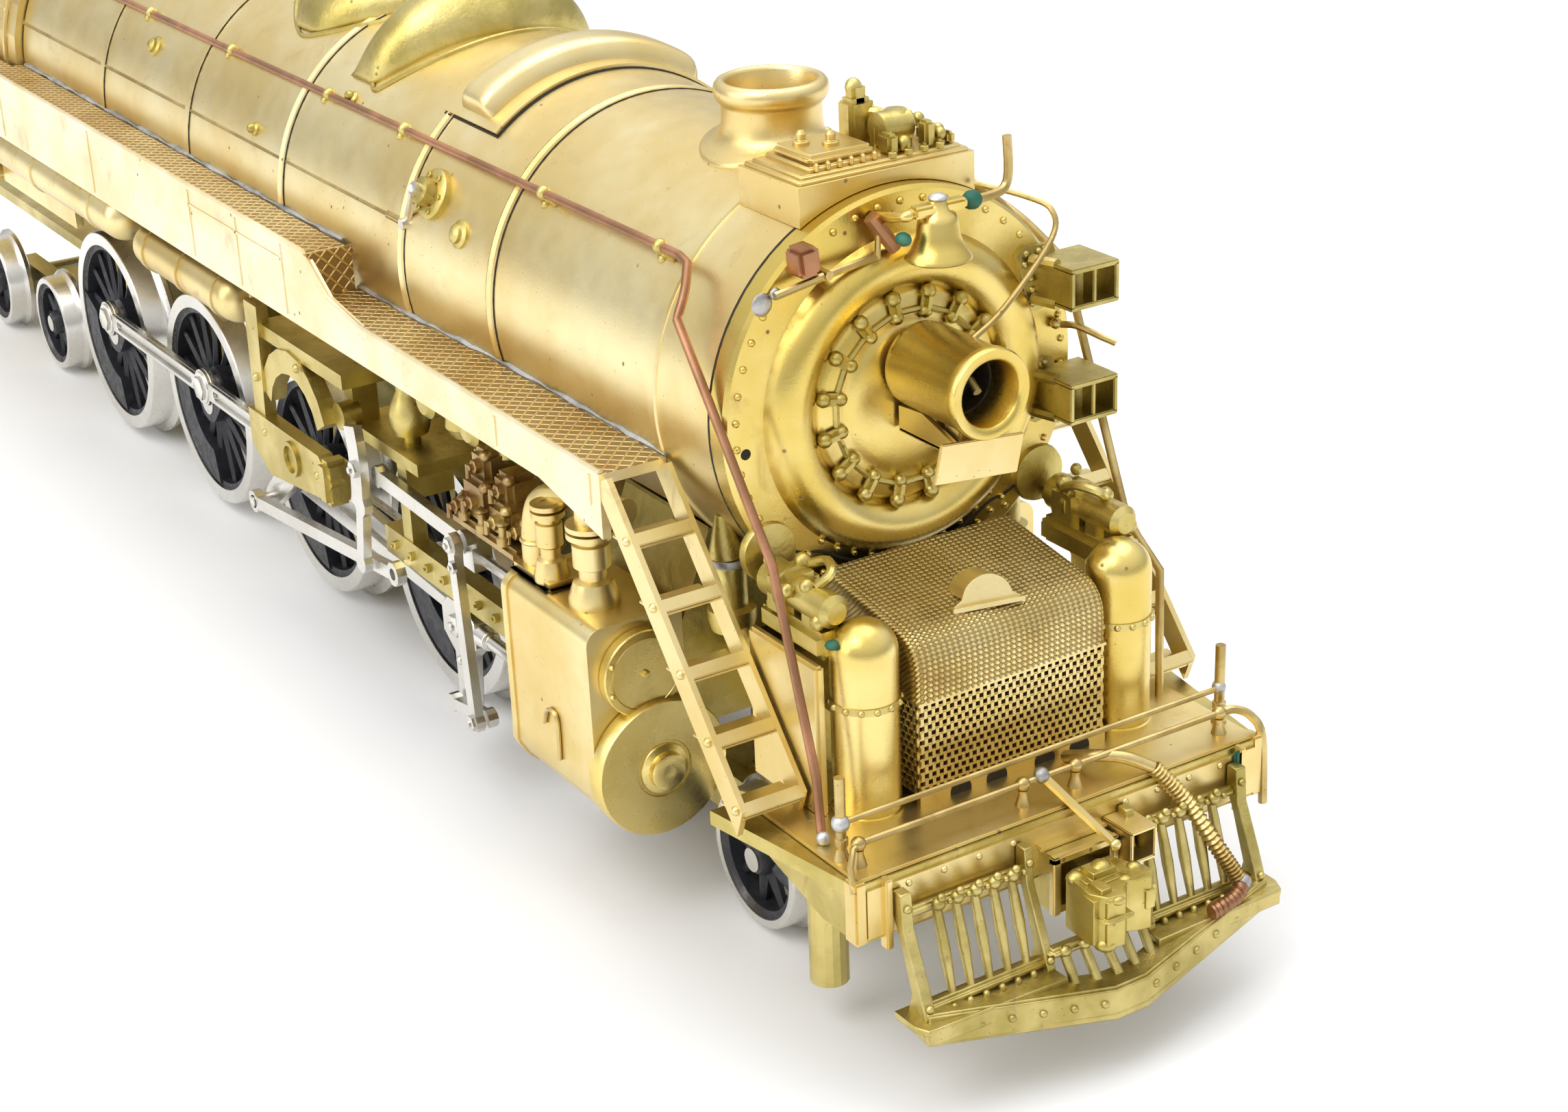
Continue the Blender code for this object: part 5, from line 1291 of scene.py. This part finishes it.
def air_tanks(side):
    """Two strapped tanks under the board."""
    bm = bmesh.new()
    for x0, x1, y, z, r in ((-146.0, -101.4, 14.6, 28.6, 2.2), (-99.0, -76.5, 14.0, 27.2, 2.1)):
        cap = [(0.0, 0.0), (0.15, 0.9), (0.5, 1.6), (1.1, 2.05), (1.8, r)]
        lathe(bm, [*((x0 + a, b) for a, b in cap), *((x1 - a, b) for a, b in reversed(cap))],
              (0, side * y, z), X, 40)
        for share in (0.14, 0.5, 0.86):
            x = x0 + (x1 - x0) * share
            lathe(bm, [(x - 0.5, r - 0.05), (x - 0.45, r + 0.15), (x + 0.45, r + 0.15),
                       (x + 0.5, r - 0.05)], (0, side * y, z), X, 40)
    piece(f"air_tanks_{SIDES[side]}", bm, BRASS, replaces=f"side_tank_{SIDES[side]}")


def underboard_pipes(side):
    """Hangers and pipes under the board."""
    bm = bmesh.new()
    for x in (-140, -124, -107, -95.5, -80.0):
        block(bm, (x - 0.4, side * 12.9, 26.5), (x + 0.4, side * 13.4, 34.0), 0.1)
    tube(bm, [(-76.5, side * 14.0, 27.0), (-73.8, side * 14.6, 26.4),
              (-71.5, side * 15.2, 29.6), (-70.6, side * 15.2, 33.0)], 0.36, 8, 6)
    tube(bm, [(-146.0, side * 14.6, 28.6), (-148.5, side * 14.6, 28.0),
              (-149.5, side * 14.6, 24.0)], 0.36, 8, 6)
    tube(bm, [(-150, side * 16.9, 31.2), (-60, side * 16.9, 31.2)], 0.24, 8)
    piece(f"underboard_pipes_{SIDES[side]}", bm, WIRE)


# ---------------------------------------------------------------- wheels
def wheel(bm_tyre, bm_centre, x, z, side, inner, outer, tread, flange, spokes, hub, axle,
          crank=None):
    """One wheel: tyre with flange, and a spoked centre with its hub."""
    y0, y1 = side * inner, side * outer
    rim_r = tread * 0.87
    lathe(bm_tyre, [(y0, rim_r - 0.1), (y0, flange - 0.2), (y0 + side * 0.15, flange),
                    (y0 + side * 0.6, flange), (y0 + side * 0.85, tread + 0.25),
                    (y0 + side * 1.1, tread + 0.06), (y1 - side * 0.15, tread),
                    (y1, tread - 0.12), (y1, rim_r)], (x, 0, z), Y, 72, closed=True)
    face = y1 - side * 0.35
    lathe(bm_centre, [(y0 + side * 0.2, rim_r + 0.02), (face, rim_r + 0.02),
                      (face, rim_r - 0.55), (y0 + side * 0.2, rim_r - 0.7)], (x, 0, z), Y, 64,
          closed=True)
    lathe(bm_centre, [(y0 + side * 0.2, axle), (y0 + side * 0.2, hub * 1.1),
                      (face - side * 0.1, hub), (y1, hub * 0.8), (y1 + side * 0.05, axle)],
          (x, 0, z), Y, 32, closed=True)
    for i in range(spokes):
        t = (i + 0.5) * tau / spokes
        along = Vector((cos(t), 0, sin(t)))
        at = Vector((x, face - side * 0.75, z))
        tube(bm_centre, [at + along * hub * 0.85, at + along * (rim_r - 0.35)],
             lambda s: 0.52 - 0.18 * s, 6)
    if crank is not None:
        t = crank
        ends = [(x, z), (x + CRANK_R * cos(t), z + CRANK_R * sin(t))]
        outline = pill(*ends, hub * 1.05, 1.7)
        prism(bm_centre, outline, "Y", y0 + side * 0.4, y1 + side * 0.1)
        weight = [(x + r * cos(t + pi + a), z + r * sin(t + pi + a))
                  for r, a in [(rim_r - 0.2, radians(v)) for v in range(-52, 53, 8)]
                  + [(rim_r * 0.62, radians(v)) for v in range(44, -45, -11)]]
        prism(bm_centre, weight, "Y", y0 + side * 0.8, y1 - side * 0.15)


def pill(a, b, ra, rb, count=10):
    """Outline round two circles and the straight sides between them."""
    (ax, az), (bx, bz) = a, b
    turn = atan2(bz - az, bx - ax)
    length = hypot(bx - ax, bz - az)
    lean = acos(max(-1.0, min(1.0, (ra - rb) / length)))
    out = []
    for cx, cz, r, start, stop in ((ax, az, ra, turn + lean, turn + tau - lean),
                                   (bx, bz, rb, turn - lean, turn + lean)):
        for i in range(count + 1):
            v = start + (stop - start) * i / count
            out.append((cx + r * cos(v), cz + r * sin(v)))
    return out


def pin_at(axle, side):
    """Crank pin at rest, as (x, z)."""
    t = radians(CRANK_DEG[side])
    return (DRIVER_X[axle] + CRANK_R * cos(t), DRIVER_Z + CRANK_R * sin(t))


def eccentric_at(side):
    """Return crank's pin at rest, as (x, z)."""
    t = radians(CRANK_DEG[side])
    x, z = pin_at(MAIN, side)
    return (x - ECC_ARM * cos(t), z - ECC_ARM * sin(t))


def stroke(side):
    """How far the crosshead stands ahead of the right-hand one at rest."""
    return pin_at(MAIN, side)[0] - pin_at(MAIN, -1)[0]


def drivers():
    """Driving wheelsets with axles and crank pins, and the return cranks."""
    for axle, x in enumerate(DRIVER_X):
        body = f"driver_{axle + 1}"
        tyre, centre, pins = bmesh.new(), bmesh.new(), bmesh.new()
        for side in SIDES:
            wheel(tyre, centre, x, DRIVER_Z, side, INNER_FACE, 10.5, 10.1, 11.0, 16, 2.1, 1.45,
                  radians(CRANK_DEG[side]))
            px, pz = pin_at(axle, side)
            reach = 13.5 if axle == MAIN else 12.3
            lathe(pins, [(side * 10.4, 0), (side * 10.4, 0.88), (side * reach, 0.88),
                         (side * reach, 0)], (px, 0, pz), Y, 24)
            if axle == MAIN:
                prism(pins, pill((px, pz), eccentric_at(side), 1.3, 0.95), "Y",
                      side * 13.6, side * 14.4)
                lathe(pins, [(side * 14.0, 0), (side * 14.0, 0.48), (side * 16.15, 0.48),
                             (side * 16.25, 0.3), (side * 16.25, 0)],
                      (eccentric_at(side)[0], 0, eccentric_at(side)[1]), Y, 20)
            else:
                lathe(pins, [(side * 12.2, 1.15), (side * 12.5, 1.15), (side * 12.6, 0.9),
                             (side * 12.6, 0)], (px, 0, pz), Y, 6)
        lathe(tyre, [(-10.7, 0), (-10.7, 1.4), (10.7, 1.4), (10.7, 0)], (x, 0, DRIVER_Z), Y, 24)
        if axle == 2:
            lathe(tyre, [(-1.6, 1.3), (-1.6, 5.1), (1.6, 5.1), (1.6, 1.3)], (x, 0, DRIVER_Z), Y, 48)
        piece(f"{body}_tyres", tyre, NICKEL, body, replaces=body)
        piece(f"{body}_centres", centre, BLACK, body, angle=30)
        piece(f"{body}_pins", pins, NICKEL, body)


def truck_wheels():
    """Wheelsets of the lead and trailing trucks."""
    for truck, xs in (("lead", LEAD_X), ("trailing", TRAIL_X)):
        for i, x in enumerate(xs):
            body = f"{truck}_wheelset_{i + 1}"
            tyre, centre = bmesh.new(), bmesh.new()
            for side in SIDES:
                wheel(tyre, centre, x, TRUCK_Z, side, INNER_FACE, 9.9, 5.0, 5.5, 9, 1.3, 0.85)
            lathe(tyre, [(-10.1, 0), (-10.1, 0.86), (10.1, 0.86), (10.1, 0)], (x, 0, TRUCK_Z), Y,
                  20)
            piece(f"{body}_tyres", tyre, NICKEL, body, replaces=body)
            piece(f"{body}_centres", centre, BLACK, body, angle=30)


# ---------------------------------------------------------------- rods
def fluted(bm, spans, outline, bores, lo, hi, side):
    """Rod plate with sunk flutes in its outer face."""
    mid = lo + 0.6 * (hi - lo)
    prism(bm, outline, "Y", side * lo, side * mid, bores)
    prism(bm, outline, "Y", side * mid, side * hi, [*bores, *spans])


def slot_outline(a, b, half, gap_a, gap_b):
    """Flute between two pins, clear of both eyes."""
    (ax, az), (bx, bz) = a, b
    length = hypot(bx - ax, bz - az)
    ux, uz = (bx - ax) / length, (bz - az) / length
    p = (ax + ux * gap_a, az + uz * gap_a)
    q = (bx - ux * gap_b, bz - uz * gap_b)
    return pill(p, q, half, half, 4)


def coupling_rod(side):
    """Rod on all four crank pins."""
    pins = [pin_at(a, side) for a in range(4)]
    level = pins[0][1]
    outline = []
    for x, _ in reversed(pins):
        outline += arc(x, level, 1.75, 152, 28, 8)
    for x, _ in pins:
        outline += arc(x, level, 1.75, -28, -152, 8)
    bores = [circle(x, level, 0.98, 16) for x, _ in pins]
    flutes = [slot_outline(a, b, 0.42, 3.0, 3.0) for a, b in zip(pins[1:], pins)]
    bm = bmesh.new()
    fluted(bm, flutes, outline, bores, 11.22, 12.1, side)
    for x, _ in pins:
        lathe(bm, [(side * 11.3, 1.0), (side * 11.3, 1.55), (side * 12.22, 1.55),
                   (side * 12.25, 1.4), (side * 12.25, 1.0)], (x, 0, level), Y, 24,
              closed=True)
    piece(f"coupling_rod_{SIDES[side]}", bm, NICKEL, f"side_rod_{SIDES[side]}",
          replaces=f"side_rod_{SIDES[side]}", bevel=0.06)


def driving_rod(side):
    """Rod from the main crank pin to the crosshead."""
    pin, wrist = pin_at(MAIN, side), (WRIST_X + stroke(side), CYL_Z)
    bm = bmesh.new()
    fluted(bm, [slot_outline(pin, wrist, 0.4, 3.2, 2.4)],
           pill(pin, wrist, 1.95, 1.25),
           [circle(*pin, 0.98, 16), circle(*wrist, 0.6, 12)], 12.4, 13.3, side)
    piece(f"driving_rod_{SIDES[side]}", bm, NICKEL, f"main_rod_{SIDES[side]}",
          replaces=f"main_rod_{SIDES[side]}", bevel=0.06)


def crosshead_body(side):
    """Crosshead with its drop arm and piston rod."""
    bm = bmesh.new()
    x, rod_end = WRIST_X + stroke(side), -16.5 + stroke(side)
    outline = [(x - 2.6, 12.9), (x - 2.6, 10.6), (x - 0.9, 9.4), (x - 0.8, 4.6),
               (x + 0.6, 4.6), (x + 1.2, 9.4), (x + 2.8, 10.8), (x + 2.8, 12.9),
               (x + 1.5, 13.75), (x - 1.5, 13.75)]
    prism(bm, outline, "Y", side * 13.6, side * 14.9)
    lathe(bm, [(x + 2.0, 0), (x + 2.0, 0.95), (x + 4.2, 0.8), (x + 4.3, 0.55),
               (rod_end, 0.55), (rod_end, 0)], (0, side * GUIDE_Y, CYL_Z), X, 20)
    bolt(bm, (x, side * 14.9, CYL_Z), side * Y, 0.95, 0.5)
    for dz in (-6.9, -3.0):
        rivet(bm, (x - 0.1, side * 14.9, CYL_Z + dz), side * Y, 0.4, 0.3)
    piece(f"crosshead_body_{SIDES[side]}", bm, NICKEL, f"crosshead_{SIDES[side]}",
          replaces=f"crosshead_{SIDES[side]}", bevel=0.08)


def gear_pins(side):
    """Pin heads of the combination lever and the expansion link."""
    bm = bmesh.new()
    for at in ((-33.6, 20.6), (-32.4, 6.6)):
        bolt(bm, (at[0], side * 17.0, at[1]), side * Y, 0.62, 0.3)
    bolt(bm, (-33.2, side * 17.0, 19.0), side * Y, 0.5, 0.3)
    piece(f"lever_pins_{SIDES[side]}", bm, NICKEL, f"combination_lever_{SIDES[side]}")
    bm = bmesh.new()
    bolt(bm, (-49.7, side * 17.0, 21.4), side * Y, 0.7, 0.4)
    piece(f"link_pin_{SIDES[side]}", bm, NICKEL, f"expansion_link_{SIDES[side]}")


# ---------------------------------------------------------------- cab and firebox
def cab():
    """Rivets, window frames and roof of the cab, and the firebox's bands and rivets."""
    bm = bmesh.new()
    for side in SIDES:
        y = side * 17.3
        for z in (22.0, 36.6, 44.6):
            for i in range(19):
                rivet(bm, (-177.0 + 1.4 * i, y, z), side * Y, 0.2, 0.16, 6)
        for x in (-169.5, -160.0):
            for lo, hi in (((x - 3.6, 37.1), (x + 3.6, 37.6)), ((x - 3.6, 44.6), (x + 3.6, 45.0)),
                           ((x - 3.6, 37.1), (x - 3.1, 45.0)), ((x + 3.1, 37.1), (x + 3.6, 45.0)),
                           ((x - 0.2, 37.1), (x + 0.2, 45.0))):
                block(bm, (lo[0], y, lo[1]), (hi[0], y + side * 0.3, hi[1]), 0.06)
        tube(bm, [(-178.4, side * 16.6, 22.5), (-178.5, side * 17.2, 24.0),
                  (-178.5, side * 17.2, 35.5), (-178.2, side * 16.6, 36.6)], 0.28, 8)
    for x in (-177.8, -151.5):
        tube(bm, hoop(x, 19.35, range(29, 152, 6), 36.4), 0.24, 6)
    block(bm, (-170.0, -5.5, 55.4), (-160.0, 5.5, 56.0), 0.2)
    piece("cab_trim", bm, BRASS)

    bm = bmesh.new()
    for x in (-130.5, -140.0, -149.5):
        tube(bm, hoop(x, 15.25, range(-12, 193, 5)), 0.24, 6)
    for i in range(9):
        for j in range(4):
            for side in SIDES:
                t = radians(18 + 9 * j)
                out = Vector((0, side * cos(t), sin(t)))
                rivet(bm, Vector((-148.0 + 2.1 * i, 0, BOILER_Z)) + 15.2 * out, out, 0.22, 0.16, 6)
    lathe(bm, [(-146.0, 0), (-146.0, 1.2), (-144.0, 1.35), (-136.5, 1.35), (-134.6, 1.1),
               (-134.4, 0)], (0, 6.4, 53.0), X, 28)
    lathe(bm, [(51.5, 1.8), (53.6, 1.7), (54.4, 1.2), (56.2, 1.1), (56.4, 0)],
          (-140.0, -3.5, 0), Z, 28)
    piece("firebox_trim", bm, BRASS)


def by_side(*builders):
    """One builder that runs the given ones on the right, and then on the left."""
    def run():
        for side in SIDES:
            for each in builders:
                each(side)
    return run


for build in (boiler, domes, stack, smokebox, headlight, bell, front_brackets, heater,
              handrails, deck, by_side(reservoir, pump_castings), front_green, guard, hose,
              pilot, coupler, boards, ladders,
              by_side(cylinder_block, cylinder_heads, relief_valves, jacket_trim, lubricator,
                      steam_pipe),
              by_side(gear_castings, air_tanks, underboard_pipes), drivers, truck_wheels,
              by_side(coupling_rod, driving_rod, crosshead_body, gear_pins), cab):
    build()


# ---------------------------------------------------------------- stage, light and camera
def stage():
    """Pale floor, graded studio world and three soft lamps."""
    bm = bmesh.new()
    prism(bm, [(-3000, -3000), (3000, -3000), (3000, 3000), (-3000, 3000)], "Z", -2.0, 0.0)
    mesh = bpy.data.meshes.new("table")
    bmesh.ops.scale(bm, vec=(0.001, 0.001, 0.001), verts=bm.verts)
    bm.to_mesh(mesh)
    bm.free()
    floor = bpy.data.objects.new("table", mesh)
    bpy.context.scene.collection.objects.link(floor)
    n = Nodes("table_white")
    mesh.materials.append(n.finish(n.mix(n.noise(0.02), rgb(0.90, 0.90, 0.90),
                                         rgb(0.93, 0.93, 0.93)), 0.75, n.noise(1.0), 0.05, 0.0))

    world = bpy.data.worlds.new("studio")
    bpy.context.scene.world = world
    world.use_nodes = True
    tree = world.node_tree
    new, join = tree.nodes.new, tree.links.new
    height = new("ShaderNodeSeparateXYZ")
    join(new("ShaderNodeTexCoord").outputs["Generated"], height.inputs[0])
    ramp = new("ShaderNodeValToRGB")
    join(height.outputs["Z"], ramp.inputs["Fac"])
    stops = ((0.0, 0.5), (0.15, 0.62), (0.4, 1.0), (0.8, 1.3))
    ramp.color_ramp.elements[0].position, ramp.color_ramp.elements[1].position = 0.0, 0.8
    for at, _ in stops[1:-1]:
        ramp.color_ramp.elements.new(at)
    for element, (_, level) in zip(ramp.color_ramp.elements, stops):
        element.color = (level, level, level * 1.01, 1)
    join(ramp.outputs["Color"], tree.nodes["Background"].inputs["Color"])
    tree.nodes["Background"].inputs["Strength"].default_value = 0.84

    for name, at, size, watts in (("key", (0.15, -0.55, 0.75), 0.5, 2.6),
                                  ("top", (-0.10, 0.15, 0.85), 0.8, 3.2),
                                  ("side", (-0.15, -0.95, 0.40), 0.6, 2.2)):
        light = bpy.data.lights.new(name, "AREA")
        light.shape = "SQUARE"
        light.size = size
        light.energy = watts
        lamp = bpy.data.objects.new(name, light)
        lamp.location = at
        lamp.rotation_euler = (Vector((0, 0, 0.02)) - lamp.location).to_track_quat(
            "-Z", "Y").to_euler()
        bpy.context.scene.collection.objects.link(lamp)


def camera():
    """Camera that looks at the engine's right front corner from above."""
    az, el, roll = (radians(v) for v in (CAM_AZ, CAM_EL, CAM_ROLL))
    ahead = Vector((-cos(el) * cos(az), -cos(el) * sin(az), -sin(el)))
    right = ahead.cross(Z).normalized()
    up = right.cross(ahead)
    across = right * cos(roll) + up * sin(roll)
    upward = -right * sin(roll) + up * cos(roll)
    data = bpy.data.cameras.new("camera")
    data.lens = CAM_LENS
    data.sensor_width = 36
    data.clip_start, data.clip_end = 0.005, 10
    cam = bpy.data.objects.new("camera", data)
    cam.matrix_world = Matrix.Translation((Vector(CAM_AT) + FRONT_X * X) * 0.001) @ Matrix(
        (across, upward, -ahead)).transposed().to_4x4()
    bpy.context.scene.collection.objects.link(cam)
    bpy.context.scene.camera = cam


stage()
camera()
bpy.context.scene.view_settings.view_transform = "Standard"
